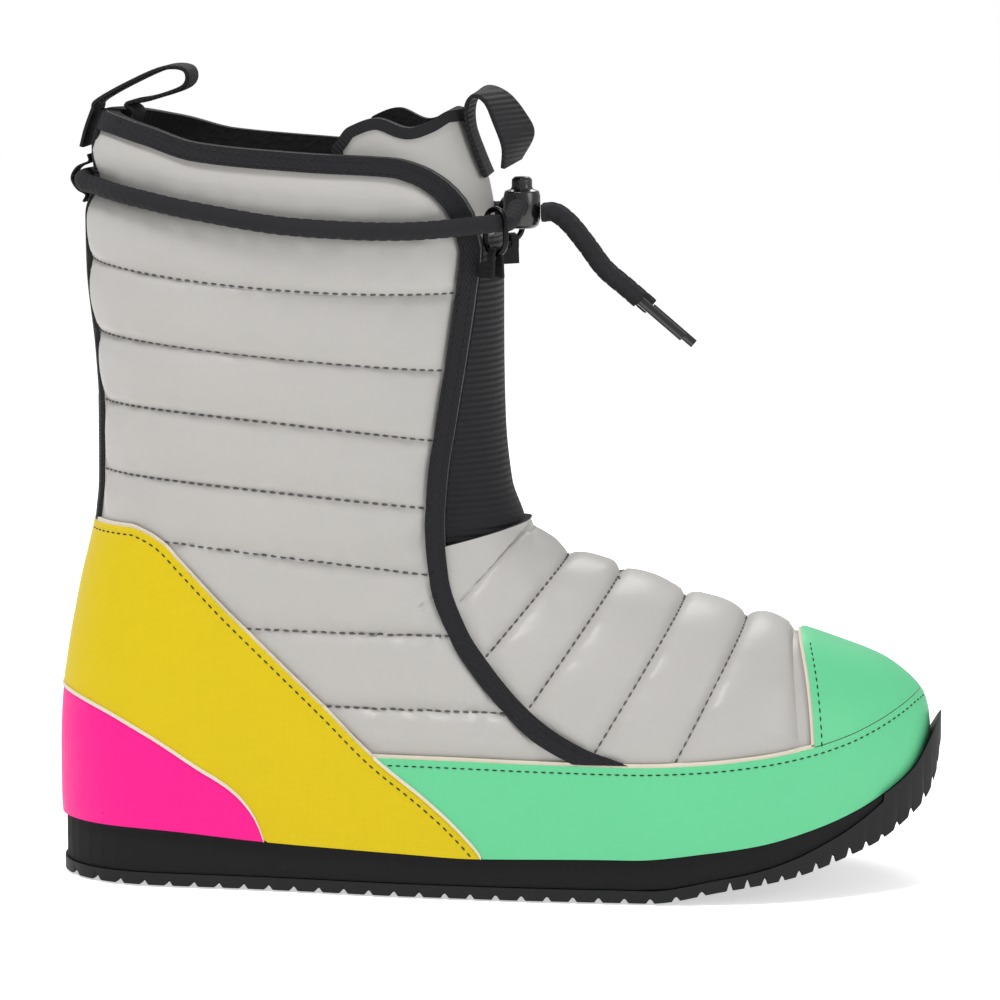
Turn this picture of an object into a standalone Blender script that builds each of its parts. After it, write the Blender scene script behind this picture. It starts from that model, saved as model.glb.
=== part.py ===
"""Apres ski boot, right foot: a quilted pull-on shaft boot with a drawcord, on a flat lugged sole.

The boot stands on z = 0 with its toe along +X and its outer side towards -Y. Every form below is worked out in
the boot's own frame, where x starts at the back of the heel. The origin is the middle of the heel's tread.
"""

import math

import bmesh
import bpy
import numpy as np
from mathutils import Vector

# The last, in metres
LENGTH = 0.2957
BALL_WIDTH = 0.102
INSTEP_HEIGHT = 0.122
COLLAR_HEIGHT = 0.262
SHAFT_DEPTH = 0.146
SHAFT_WIDTH = 0.100
SHAFT_MIDDLE = 0.0845
THROAT_HEIGHT = 0.1175
RAND_HEIGHT = 0.047

# The sole unit
HEEL_HEIGHT = 0.020
BALL_HEIGHT = 0.0145
TOE_SPRING = 0.030
BUMPER_HEIGHT = 0.057
TOE_LEDGE = 0.0054
HEEL_LEDGE = 0.0010
OUTSOLE_THICK = 0.0048
MIDSOLE_STEP = 0.0008
TREAD_DEPTH = 0.0013
TREAD_EDGE = 0.014
LUG_PITCH = 0.00865
TOE_LUG_PITCH = 0.0058
EDGE_CHAMFER = 0.0012
HEEL_TREAD_X = 0.040

# Walls and layers
WALL = 0.0045
PANEL = 0.0015
SPINE_TAPE = 0.0012
SPINE_WIDTH = 0.029
BINDING_WIDTH = 0.0062
TONGUE_THICK = 0.0040
GORE_DEPTH = 0.0026
GORE_THICK = 0.0015
INSOLE_THICK = 0.0035
INSOLE_PLAY = 0.0054
INSOLE_END = 0.90
GAP = 0.0003
QUILT = 0.0026

# Cord, rings and pull loops
TAPE_THICK = 0.0015
PULL_WIDTH = 0.022
PULL_LENGTH = 0.032
FRONT_PULL_WIDTH = 0.026
FRONT_PULL_REACH = 0.020
CORD_DIAMETER = 0.0062
RING_WIRE = 0.0020
RING_PLAY = 0.0006
RING_HEIGHT = 0.0170
RING_TAB_WIDTH = 0.0030
RING_TAB_DROP = 0.0080
KEEPER_WIDTH = 0.011
LOCK_DIAMETER = 0.0125
LOCK_HEIGHT = 0.0175
AGLET_DIAMETER = 0.0032
AGLET_LENGTH = 0.0190

COLOURS = {
    "quilted_grey": (0.60, 0.58, 0.56, 0.5, 0.0),
    "mint": (0.20, 0.72, 0.38, 0.5, 0.0),
    "yellow": (0.85, 0.70, 0.0, 0.55, 0.0),
    "pink": (0.95, 0.01, 0.38, 0.55, 0.0),
    "black_tape": (0.012, 0.012, 0.014, 0.8, 0.0),
    "black_rubber": (0.010, 0.010, 0.011, 0.7, 0.0),
    "black_foam": (0.008, 0.008, 0.009, 0.85, 0.0),
    "black_plastic": (0.008, 0.008, 0.009, 0.2, 0.0),
    "black_metal": (0.010, 0.010, 0.011, 0.3, 1.0),
    "black_cord": (0.010, 0.010, 0.012, 0.85, 0.0),
}


def rows(names, *values):
    """A table with named columns."""
    return [dict(zip(names.split(), row)) for row in values]


def smooth(table, at, column):
    """A smooth curve through one column of a table. It never overshoots between two rows."""
    xs = np.array([row["at"] for row in table], float)
    ys = np.array([row[column] for row in table], float)
    steps = np.diff(xs)
    slopes = np.diff(ys) / steps
    tangents = np.zeros(len(xs))
    tangents[0], tangents[-1] = slopes[0], slopes[-1]
    for i in range(1, len(xs) - 1):
        if slopes[i - 1] * slopes[i] > 0:
            tangents[i] = 2 * slopes[i - 1] * slopes[i] / (slopes[i - 1] + slopes[i])
    at = np.clip(np.asarray(at, float), xs[0], xs[-1])
    i = np.clip(np.searchsorted(xs, at, side="right") - 1, 0, len(steps) - 1)
    t = (at - xs[i]) / steps[i]
    level = ys[i] * (1 + 2 * t) * (1 - t) ** 2 + ys[i + 1] * t * t * (3 - 2 * t)
    return level + steps[i] * t * (1 - t) * (tangents[i] * (1 - t) - tangents[i + 1] * t)


def fade(distance, reach):
    """0 below 0 and 1 past reach."""
    return np.clip(distance / reach, 0, 1)


# The sole's plan: place along the length, the middle line's offset and the half width as shares of half the ball
PLAN = rows(
    "at middle half",
    (0.00, 0.00, 0.72), (0.10, 0.00, 0.72), (0.20, -0.02, 0.74), (0.30, -0.06, 0.77), (0.42, -0.11, 0.82),
    (0.52, -0.10, 0.88), (0.62, -0.05, 0.95), (0.72, 0.00, 1.00), (0.82, 0.03, 0.99), (0.92, 0.10, 0.93),
    (1.00, 0.15, 0.82),
)
HEEL_ROUND, TOE_ROUND, ROUND_POWER = 0.042, 0.088, 2.15

# The vamp's ridge from the throat to the toe: place along the length, height as a share of the instep's
RIDGE = rows(
    "at height",
    (0.00, 1.36), (0.20, 1.34), (0.35, 1.25), (0.47, 1.09), (0.536, 0.985), (0.587, 0.908), (0.647, 0.860),
    (0.722, 0.793), (0.793, 0.735), (0.843, 0.702), (0.900, 0.655), (0.947, 0.610), (0.976, 0.560),
    (0.992, 0.515), (0.998, 0.465), (1.00, 0.400),
)

# The shaft: height as a share of the collar's; the back's and the front's distance from the middle as shares of
# half the depth; the half width as a share of half the shaft's width
SHAFT = rows(
    "at back front half",
    (0.00, 1.15, 1.02, 0.52), (0.16, 1.15, 1.02, 0.66), (0.25, 1.14, 1.02, 0.74), (0.37, 1.07, 1.05, 0.80),
    (0.465, 0.990, 1.050, 0.84), (0.52, 0.960, 0.990, 0.86), (0.60, 0.962, 0.960, 0.90),
    (0.69, 0.978, 0.952, 0.95), (0.80, 1.015, 0.950, 0.99), (0.865, 1.018, 0.945, 1.00),
    (0.912, 0.972, 0.920, 0.985), (0.95, 0.985, 0.865, 0.985),
    (1.00, 0.930, 0.800, 0.965), (1.06, 0.880, 0.740, 0.95),
)
FRONT_POWER, BACK_POWER = 2.15, 2.25

# The heel's back under the shaft: height, and how far forward it stands, as shares of the instep's height
HEEL_BACK = rows(
    "at forward",
    (0.0, 0.020), (0.15, 0.006), (0.23, 0.0), (0.36, 0.0), (0.53, 0.012), (0.78, 0.068), (1.00, 0.125),
    (1.30, 0.125),
)
HEEL_BLEND = 0.10

# The line where the upper meets the sole, as shares of the heel's, the ball's and the bumper's heights
FEATHER = rows(
    "at heel ball bumper",
    (0.00, 1.02, 0.0, 0.0), (0.10, 1.00, 0.0, 0.0), (0.25, 0.60, 0.34, 0.0), (0.40, 0.20, 0.77, 0.0),
    (0.50, 0.0, 0.98, 0.0), (0.67, 0.0, 1.04, 0.0), (0.744, 0.0, 1.0, 0.045), (0.812, 0.0, 1.0, 0.09),
    (0.880, 0.0, 1.0, 0.175), (0.930, 0.0, 1.0, 0.27), (0.964, 0.0, 1.0, 0.37), (0.9875, 0.0, 1.0, 0.465),
    (1.001, 0.0, 1.0, 0.57), (1.018, 0.0, 1.0, 0.745),
)
# The tread's underside: flat from heel to ball, then the toe spring
TREAD = rows(
    "at spring",
    (0.00, 0.0), (0.69, 0.0), (0.771, 0.13), (0.855, 0.27), (0.913, 0.45), (0.950, 0.59), (0.977, 0.76),
    (1.001, 0.97), (1.013, 1.24), (1.0183, 1.60),
)
# How far the outsole climbs the side at the toe, as a share of the sole's height above its own thickness
TOE_WRAP = rows("at share", (0.0, 0.0), (0.78, 0.0), (0.90, 0.42), (0.955, 0.80), (1.0, 1.0))
MIDSOLE_END = 0.952
RAND_TOP = rows(
    "at height",
    (0.00, 1.02), (0.37, 1.017), (0.46, 1.013), (0.58, 1.0), (0.67, 0.992), (0.74, 1.006), (0.812, 1.043),
    (0.873, 1.10), (0.913, 1.16), (0.947, 1.24), (0.975, 1.325), (0.995, 1.39), (1.02, 1.42),
)


def plan_half(x):
    """Half the last's width at x."""
    heel = fade(HEEL_ROUND - x, HEEL_ROUND)
    toe = fade(x - LENGTH + TOE_ROUND, TOE_ROUND)
    ends = ((1 - heel**ROUND_POWER) * (1 - toe**ROUND_POWER)) ** (1 / ROUND_POWER)
    return BALL_WIDTH / 2 * smooth(PLAN, x / LENGTH, "half") * ends


def plan_middle(x):
    """The last's middle line at x: it bends to the inner side at the toe."""
    return BALL_WIDTH / 2 * smooth(PLAN, x / LENGTH, "middle")


def ridge(x):
    return INSTEP_HEIGHT * smooth(RIDGE, x / LENGTH, "height")


def feather(x):
    """Height of the line where the upper meets the sole."""
    at = x / LENGTH
    low = HEEL_HEIGHT * smooth(FEATHER, at, "heel") + BALL_HEIGHT * smooth(FEATHER, at, "ball")
    return low + BUMPER_HEIGHT * smooth(FEATHER, at, "bumper")


def over_feather(x):
    return feather(x) + GAP


def tread(x):
    return TOE_SPRING * smooth(TREAD, x / LENGTH, "spring")


def rand_top(x):
    return RAND_HEIGHT * smooth(RAND_TOP, x / LENGTH, "height")


def shaft_back(z):
    return SHAFT_MIDDLE - SHAFT_DEPTH / 2 * smooth(SHAFT, z / COLLAR_HEIGHT, "back")


def shaft_front(z):
    return SHAFT_MIDDLE + SHAFT_DEPTH / 2 * smooth(SHAFT, z / COLLAR_HEIGHT, "front")


def heel_back(z):
    return INSTEP_HEIGHT * smooth(HEEL_BACK, z / INSTEP_HEIGHT, "forward")


# The foot's side: where it is widest over the feather line, its roundness, its tuck towards the sole and its blend
WIDE_RISE, DOME_POWER, SIDE_TUCK, BLEND = 0.022, 2.25, 0.05, 0.012


def half_width(x, z):
    """Half the upper's width at a point of its side view: the foot's and the shaft's forms, blended together."""
    x, z = np.asarray(x, float), np.asarray(z, float)
    wide = WIDE_RISE + 0.5 * feather(x)
    top = np.maximum(ridge(x), wide + GAP)
    rise = fade(z - wide, top - wide)
    dip = fade(wide - z, wide)
    shifted = x - heel_back(z) * fade(HEEL_BLEND - x, HEEL_BLEND)
    foot = plan_half(shifted) * (1 - rise**DOME_POWER) ** (1 / DOME_POWER) * (1 - SIDE_TUCK * dip**2)
    back, front = shaft_back(z), shaft_front(z)
    reach = np.clip((2 * x - front - back) / (front - back), -1, 1)
    power = np.where(reach > 0, FRONT_POWER, BACK_POWER)
    shaft = (1 - np.abs(reach) ** power) ** (1 / power)
    shaft = SHAFT_WIDTH / 2 * smooth(SHAFT, z / COLLAR_HEIGHT, "half") * shaft
    near = fade(BLEND - np.abs(foot - shaft), BLEND) * (np.minimum(foot, shaft) > 0)
    return np.maximum(foot, shaft) + near**2 * BLEND / 4


def middle_line(x, z):
    """The upper's middle line: the last's near the floor and at the toe, and straight above the ankle."""
    above = fade(z / INSTEP_HEIGHT - 0.35, 0.60)
    toe = fade(x / LENGTH - 0.55, 0.35)
    return plan_middle(x) * (1 - above * above * (3 - 2 * above) * (1 - toe))


# Lines of quilting stitches round the shaft: height at the back and the front as shares of the collar's height,
# and how far they sag between. On the vamp: where a line crosses the ridge and where it would meet the floor.
SHAFT_SEAMS = rows(
    "at back front sag",
    (0, 1.061, 1.000, 0.018), (1, 0.915, 0.852, 0.018), (2, 0.818, 0.775, 0.015), (3, 0.721, 0.667, 0.0),
    (4, 0.628, 0.568, -0.012), (5, 0.538, 0.482, -0.010), (6, 0.462, 0.396, -0.008), (7, 0.350, 0.334, 0.0),
    (8, 0.250, 0.242, 0.0), (9, 0.160, 0.160, 0.0),
)
VAMP_SEAMS = rows(
    "at ridge floor",
    (0, 0.536, 0.170), (1, 0.587, 0.270), (2, 0.647, 0.400), (3, 0.722, 0.525), (4, 0.793, 0.635),
    (5, 0.848, 0.875),
)
LAST_ROUND_SEAM = 5
SEAM_REACH = 0.1575

# Edges drawn in the side view: along the length, and height as a share of the instep's or the collar's
BINDING_LINE = rows(
    "at x",
    (0.36, 0.676), (0.385, 0.668), (0.42, 0.626), (0.477, 0.582), (0.54, 0.549), (0.64, 0.511), (0.745, 0.480),
    (0.88, 0.459), (1.016, 0.454), (1.15, 0.457), (1.29, 0.4655), (1.45, 0.476), (1.64, 0.487), (1.78, 0.493),
    (2.4, 0.493),
)
PANEL_EDGE = rows(
    "at height",
    (-0.05, 1.002), (0.05, 1.004), (0.092, 1.004), (0.113, 0.990), (0.132, 0.965), (0.156, 0.910),
    (0.208, 0.782), (0.266, 0.648), (0.325, 0.512), (0.376, 0.392), (0.440, 0.270), (0.480, 0.180),
    (0.505, 0.100), (0.515, 0.0),
)
COUNTER_EDGE = rows(
    "at height",
    (-0.05, 0.545), (0.00, 0.533), (0.05, 0.500), (0.112, 0.430), (0.170, 0.344), (0.210, 0.285),
    (0.234, 0.224), (0.250, 0.134), (0.256, 0.0),
)
CAP_EDGE = rows("at x", (0.0, 0.877), (0.43, 0.875), (0.50, 0.873), (0.60, 0.8675), (0.69, 0.858), (0.80, 0.838))
COLLAR_LINE = rows(
    "at height",
    (-0.05, 1.0), (0.05, 1.0), (0.12, 0.985), (0.18, 0.966), (0.30, 0.954), (0.40, 0.9465), (0.43, 0.936),
    (0.455, 0.918), (0.475, 0.893), (0.487, 0.865), (0.493, 0.830),
)
TONGUE_BACK = rows("at x", (0.85, 0.48), (1.10, 0.40), (1.60, 0.345), (2.06, 0.331), (2.10, 0.336), (2.4, 0.345))
TONGUE_TOP = rows(
    "at height",
    (0.30, 0.950), (0.331, 0.962), (0.348, 0.985), (0.379, 0.996), (0.415, 0.983), (0.435, 0.990), (0.455, 1.002),
    (0.60, 1.002),
)
TONGUE_FOOT, GORE_TOP, THROAT_SLOPE, PAST_THROAT = 0.88, 0.84, 0.22, 0.60


def binding_x(z):
    """Where the bound front edge of the quarters lies at height z."""
    return LENGTH * smooth(BINDING_LINE, z / INSTEP_HEIGHT, "x")


def panel_edge(x):
    return INSTEP_HEIGHT * smooth(PANEL_EDGE, x / LENGTH, "height")


def counter_edge(x):
    return INSTEP_HEIGHT * smooth(COUNTER_EDGE, x / LENGTH, "height")


def cap_x(z):
    return LENGTH * smooth(CAP_EDGE, z / INSTEP_HEIGHT, "x")


def collar_line(x):
    return COLLAR_HEIGHT * smooth(COLLAR_LINE, x / LENGTH, "height")


def throat_line(x):
    """Height of the throat's bottom edge, which rises to the ridge."""
    return THROAT_HEIGHT + THROAT_SLOPE * (x - binding_x(THROAT_HEIGHT))


def shaft_seam(seam, x):
    """Height of one line of stitches round the shaft at x."""
    t = fade(x, SEAM_REACH)
    drop = (seam["front"] - seam["back"]) * t - seam["sag"] * 4 * t * (1 - t)
    return COLLAR_HEIGHT * (seam["back"] + drop)


def vamp_seam(seam, z):
    """Place along the length of one line of stitches over the vamp at height z."""
    start = LENGTH * seam["ridge"]
    return LENGTH * seam["floor"] + (start - LENGTH * seam["floor"]) * z / ridge(start)


def swell(value, lines):
    """0 on each line and 1 halfway between two, as padding swells between stitches."""
    total = np.zeros(np.shape(value))
    for one, two in zip(lines, lines[1:]):
        share = (value - one) / (two - one)
        inside = (share > 0) & (share < 1)
        total = np.where(inside, np.sin(np.pi * np.clip(share, 0, 1)) ** 0.6, total)
    return total


# How far from an overlay's edge the padding reaches its full height
LONG_FADE, SHORT_FADE = 0.007, 0.005


def quilting(x, z):
    """How far the padding stands out at a point of the side view. It is pressed flat under each overlay."""
    front = x - binding_x(z)
    shaft = swell(z, [shaft_seam(seam, x) for seam in SHAFT_SEAMS])
    vamp = swell(x, [vamp_seam(seam, z) for seam in VAMP_SEAMS])
    out = QUILT * np.where(front > 0, vamp, shaft)
    out = out * fade(z - rand_top(x) - GAP, LONG_FADE) * fade(z - panel_edge(x) - GAP, LONG_FADE)
    out = out * fade(np.abs(front + BINDING_WIDTH / 2) - BINDING_WIDTH / 2 - GAP, SHORT_FADE)
    under_collar = fade(collar_line(x) - BINDING_WIDTH - GAP - z, SHORT_FADE)
    on_vamp = fade(cap_x(z) - GAP - x, SHORT_FADE) * (z < throat_line(x) + SHORT_FADE)
    out = out * np.where(front < 0, under_collar, on_vamp)
    beside_spine = fade(half_width(x, z) - SPINE_WIDTH / 2 - GAP, SHORT_FADE)
    return out * np.where(x < SHAFT_MIDDLE, beside_spine, 1)


# The rays that lay out the form's grid run from the ridge or the shaft's front to the sole or the shaft's back
CROOK_X = 0.1605
ABOVE = 0.016
FINE, COARSE = 15, 10
RAY_STEPS = {"toe": 5, "vamp": 2, "heel": 9, "shaft": 3, "top": 1}
CROOK_EASE = 0.06


def floor_line(x):
    """The form's underside. It lies under the feather line, which cuts it off."""
    return np.minimum(feather(x) - 0.008, 0.034)


def front_point(value):
    """A point of the front outline: the ridge from the toe to the throat up to 1, then the shaft's front."""
    x = CROOK_X + (LENGTH - CROOK_X) * np.cos(np.clip(value, 0, 1) * math.pi / 2)
    up = np.clip(value - 1, 0, 1)
    start = ridge(CROOK_X)
    high = start + (COLLAR_HEIGHT + ABOVE - start) * up
    above = CROOK_X + (shaft_front(high) - CROOK_X) * fade(up, CROOK_EASE)
    return np.where(value > 1, above, x), np.where(value > 1, high, ridge(x))


def low_point(value):
    """A point of the lower outline: under the foot from the toe to the heel up to 1, then the back."""
    x = LENGTH / 2 * (1 + np.cos(np.clip(value, 0, 1) * math.pi))
    start = floor_line(0.0)
    high = start + (COLLAR_HEIGHT + ABOVE - start) * np.clip(value - 1, 0, 1)
    behind = np.minimum(heel_back(high), shaft_back(high))
    return np.where(value > 1, behind, x), np.where(value > 1, high, floor_line(x))


def key_rays():
    """The rays along each line of stitches, and those at the two ends: front value, low value, sag, steps."""
    keys = [(0.0, 0.0, 0.0, RAY_STEPS["toe"])]
    for seam in reversed(VAMP_SEAMS):
        start = max(LENGTH * seam["ridge"], CROOK_X)
        end = vamp_seam(seam, floor_line(vamp_seam(seam, 0.0)))
        front = 2 / math.pi * math.acos((start - CROOK_X) / (LENGTH - CROOK_X))
        low = math.acos(2 * end / LENGTH - 1) / math.pi
        keys.append((front, low, 0.0, RAY_STEPS["vamp" if seam["at"] else "heel"]))
    top = COLLAR_HEIGHT + ABOVE
    for seam in reversed(SHAFT_SEAMS[: LAST_ROUND_SEAM + 1]):
        high = min(float(shaft_seam(seam, SEAM_REACH)), top)
        behind = min(float(shaft_seam(seam, shaft_back(COLLAR_HEIGHT * seam["back"]))), top)
        front = 1 + (high - ridge(CROOK_X)) / (top - ridge(CROOK_X))
        low = 1 + (behind - floor_line(0.0)) / (top - floor_line(0.0))
        keys.append((float(front), float(low), seam["sag"], RAY_STEPS["shaft" if seam["at"] else "top"]))
    keys.append((2.0, 2.0, 0.0, 1))
    return keys


def form_grid(columns):
    """A grid of points on the upper's surface, [ray, side, column], the outer side first."""
    grid = []
    cosine = (1 - np.cos(np.linspace(0, math.pi, 160))) / 2
    keys = key_rays()
    for one, two in zip(keys, keys[1:] + keys[-1:]):
        steps = one[3] if columns == FINE else max(one[3] // 2, 1)
        for step in range(steps):
            front, low, sag = (a + (b - a) * step / steps for a, b in zip(one[:3], two[:3]))
            start, end = front_point(front), low_point(low)
            x = start[0] + (end[0] - start[0]) * cosine
            z = start[1] + (end[1] - start[1]) * cosine
            z = z - COLLAR_HEIGHT * sag * 4 * cosine * (1 - cosine)
            half = half_width(x, z)
            half[0] = 0
            if low >= 1:
                half[-1] = 0
            pair = []
            for sign in (-1, 1):
                line = np.stack([x, middle_line(x, z) + sign * half, z], axis=1)
                run = np.concatenate([[0], np.cumsum(np.linalg.norm(np.diff(line, axis=0), axis=1))])
                even = np.linspace(0, run[-1], columns + 1)
                pair.append(np.stack([np.interp(even, run, line[:, axis]) for axis in range(3)], axis=1))
            grid.append(pair)
    return np.array(grid)


def form_mesh(columns, offset, quilted=False):
    """The upper's closed form, with every point moved out along its normal by offset and by the quilting."""
    grid = form_grid(columns)
    puff = quilting(grid[..., 0], grid[..., 2]) if quilted else np.zeros(grid.shape[:3])
    mesh = bmesh.new()
    layer = mesh.verts.layers.float.new("puff")
    rings = []
    for points, lifts in zip(grid, puff):
        closed = np.linalg.norm(points[0, -1] - points[1, -1]) < 1e-6
        ring = []
        for index, point in enumerate(np.concatenate([points[0], points[1, :0:-1]])):
            if index == columns + 1 and closed:
                ring.append(ring[-1])
                continue
            vert = mesh.verts.new(point)
            vert[layer] = np.concatenate([lifts[0], lifts[1, :0:-1]])[index]
            ring.append(vert)
        rings.append(ring)
    for one, two in zip(rings, rings[1:]):
        for j in range(len(one)):
            k = (j + 1) % len(one)
            corners = list(dict.fromkeys((one[j], one[k], two[k], two[j])))
            if len(corners) > 2:
                mesh.faces.new(corners)
    mesh.faces.new(list(dict.fromkeys(rings[-1])))
    bmesh.ops.remove_doubles(mesh, verts=mesh.verts, dist=1e-5)
    bmesh.ops.dissolve_degenerate(mesh, edges=mesh.edges, dist=1e-6)
    bmesh.ops.recalc_face_normals(mesh, faces=mesh.faces)
    bmesh.ops.triangulate(mesh, faces=mesh.faces, quad_method="BEAUTY")
    mesh.normal_update()
    moves = [(vert, vert.normal * (offset + vert[layer])) for vert in mesh.verts]
    for vert, move in moves:
        vert.co += move
    return mesh


for old in list(bpy.data.objects):
    bpy.data.objects.remove(old)

last_frame = bpy.data.objects.new("last_frame", None)
last_frame.location = (-HEEL_TREAD_X, 0, 0)
bpy.context.scene.collection.objects.link(last_frame)


def material(name):
    found = bpy.data.materials.get(name)
    if found:
        return found
    made = bpy.data.materials.new(name)
    made.use_nodes = True
    red, green, blue, roughness, metallic = COLOURS[name]
    shader = made.node_tree.nodes["Principled BSDF"]
    shader.inputs["Base Color"].default_value = (red, green, blue, 1)
    shader.inputs["Roughness"].default_value = roughness
    shader.inputs["Metallic"].default_value = metallic
    made.diffuse_color = (red, green, blue, 1)
    return made


def place(name, data, colour=None):
    """Link an object to the boot's frame. One with no colour is a cutter."""
    made = bpy.data.objects.new(name, data)
    bpy.context.scene.collection.objects.link(made)
    made.parent = last_frame
    if colour:
        data.materials.append(material(colour))
    else:
        made.hide_render = True
        made.display_type = "WIRE"
    return made


def place_mesh(name, mesh, colour=None):
    """Turn a closed bmesh into an object with its faces pointing out."""
    bmesh.ops.recalc_face_normals(mesh, faces=mesh.faces)
    if mesh.calc_volume(signed=True) < 0:
        bmesh.ops.reverse_faces(mesh, faces=mesh.faces)
    data = bpy.data.meshes.new(name)
    mesh.to_mesh(data)
    mesh.free()
    if colour:
        data.shade_smooth()
        data.set_sharp_from_angle(angle=math.radians(35))
    return place(name, data, colour)


def cut(target, cutter, operation="DIFFERENCE"):
    step = target.modifiers.new(cutter.name, "BOOLEAN")
    step.operation = operation
    step.solver = "EXACT"
    step.object = cutter


def prism(name, outline):
    """A closed block over all the boot's width, from an outline drawn in the side view."""
    outline = [(float(x), float(z)) for x, z in outline]
    kept = [b for a, b in zip(outline[-1:] + outline, outline) if math.dist(a, b) > 1e-5]
    mesh = bmesh.new()
    near = [mesh.verts.new((x, -BALL_WIDTH, z)) for x, z in kept]
    far = [mesh.verts.new((x, BALL_WIDTH, z)) for x, z in kept]
    mesh.faces.new(near)
    mesh.faces.new(far[::-1])
    for i in range(len(kept)):
        k = (i + 1) % len(kept)
        mesh.faces.new((near[k], near[i], far[i], far[k]))
    return place_mesh(name, mesh)


BEHIND, BEYOND, OVERHEAD, UNDER = -0.03, LENGTH + 0.03, COLLAR_HEIGHT + 0.05, -0.02
EDGE_STEP = 0.0045


def strip(name, lower, upper, start, end):
    """A prism between two heights, given as functions of x. All strips have their corners at the same places."""
    steps = np.arange(BEHIND, BEYOND, EDGE_STEP)
    xs = [start] + list(steps[(steps > start + GAP) & (steps < end - GAP)]) + [end]
    return prism(name, [(x, lower(x)) for x in xs] + [(x, upper(x)) for x in xs[::-1]])


def shell(name, colour, outer, inner, region, columns=FINE):
    """The layer between two offsets of the form, inside a region of the side view. It lies on the quilting."""
    body = place_mesh(name, form_mesh(columns, outer, outer > 0), colour)
    cut(body, region, "INTERSECT")
    cut(body, inner)
    return body


def crossing(one, two, low, high):
    """The x where two lines of the side view meet."""
    for _ in range(40):
        middle = (low + high) / 2
        if (one(middle) > two(middle)) == (one(low) > two(low)):
            low = middle
        else:
            high = middle
    return (low + high) / 2


throat_x = LENGTH * PAST_THROAT

# The upper: one hollow wall, open at the collar, the throat and underneath
under_upper = strip("under_upper", lambda x: UNDER, over_feather, BEHIND, BEYOND)
collar_end = float(binding_x(COLLAR_HEIGHT))
collar_path = [(x, collar_line(x)) for x in np.linspace(BEHIND, collar_end, 22)]
throat_zs = np.linspace(float(collar_line(collar_end)), THROAT_HEIGHT, 22)
throat_path = [(binding_x(z), z) for z in throat_zs[1:]]
open_edge = collar_path + throat_path + [(throat_x, throat_line(throat_x))]
opening = prism("opening", open_edge + [(throat_x, OVERHEAD), (BEHIND, OVERHEAD)])
inner_form = place_mesh("inner_form", form_mesh(COARSE, -WALL))
upper = place_mesh("upper", form_mesh(FINE, 0.0, True), "quilted_grey")
cut(upper, inner_form)
cut(upper, under_upper)
cut(upper, opening)

# The coloured overlays of the foot, cut from the layer just outside the upper
overlay_seat = place_mesh("overlay_seat", form_mesh(FINE, GAP, True))
panel_end = crossing(panel_edge, over_feather, 0.30 * LENGTH, 0.515 * LENGTH)
counter_end = crossing(counter_edge, over_feather, 0.15 * LENGTH, 0.256 * LENGTH)
rand_start = crossing(lambda x: panel_edge(x) + GAP, rand_top, 0.20 * LENGTH, 0.50 * LENGTH)
cap_foot = crossing(lambda x: x, lambda x: cap_x(rand_top(x)), 0.80 * LENGTH, 0.95 * LENGTH)


def rand_low(x):
    return max(over_feather(x), panel_edge(x) + GAP if x < panel_end + GAP else 0)


def panel_low(x):
    return max(over_feather(x), counter_edge(x) + GAP if x < counter_end + GAP else 0)


rand_region = strip("rand_region", rand_low, rand_top, rand_start, BEYOND)
shell("toe_rand", "mint", GAP + PANEL, overlay_seat, rand_region)
panel_region = strip("panel_region", panel_low, panel_edge, BEHIND, panel_end)
shell("side_panel", "yellow", GAP + PANEL, overlay_seat, panel_region)
counter_region = strip("counter_region", over_feather, counter_edge, BEHIND, counter_end)
shell("heel_panel", "pink", GAP + PANEL, overlay_seat, counter_region)
cap_zs = np.linspace(INSTEP_HEIGHT * 0.8, float(rand_top(cap_foot)) + GAP, 14)
cap_outline = [(cap_x(z), z) for z in cap_zs]
cap_outline += [(x, rand_top(x) + GAP) for x in np.linspace(cap_foot, BEYOND, 40)[1:]]
cap_region = prism("cap_region", cap_outline + [(BEYOND, INSTEP_HEIGHT), (cap_outline[0][0], INSTEP_HEIGHT)])
shell("toe_cap", "mint", GAP + PANEL, overlay_seat, cap_region)

# The bound edge of the quarters, from the rand up the throat and round the collar
edge_foot = float(rand_top(0.60 * LENGTH)) + GAP
edge_zs = np.linspace(edge_foot, float(collar_line(collar_end)), 22)
outer_edge = [(float(binding_x(z)), float(z)) for z in edge_zs]
outer_edge += [(float(x), float(z)) for x, z in collar_path[::-1][1:]]
inner_edge = []
for i, (x, z) in enumerate(outer_edge):
    before, after = outer_edge[max(i - 1, 0)], outer_edge[min(i + 1, len(outer_edge) - 1)]
    along = Vector((after[0] - before[0], after[1] - before[1])).normalized()
    inner_edge.append((x - along.y * BINDING_WIDTH, max(z + along.x * BINDING_WIDTH, edge_foot)))
binding_region = prism("binding_region", outer_edge + inner_edge[::-1])
shell("edge_binding", "black_tape", GAP + SPINE_TAPE, overlay_seat, binding_region)

# The tape down the middle of the back
spine_low, spine_high = float(panel_edge(0.0)) + GAP, float(collar_line(0.0)) - BINDING_WIDTH - GAP
spine_box = bmesh.new()
bmesh.ops.create_cube(spine_box, size=1)
bmesh.ops.scale(spine_box, vec=(SHAFT_MIDDLE, SPINE_WIDTH, spine_high - spine_low), verts=spine_box.verts)
bmesh.ops.translate(spine_box, vec=(0, 0, (spine_low + spine_high) / 2), verts=spine_box.verts)
spine_region = place_mesh("spine_region", spine_box)
shell("back_tape", "black_tape", GAP + SPINE_TAPE, overlay_seat, spine_region)

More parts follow.
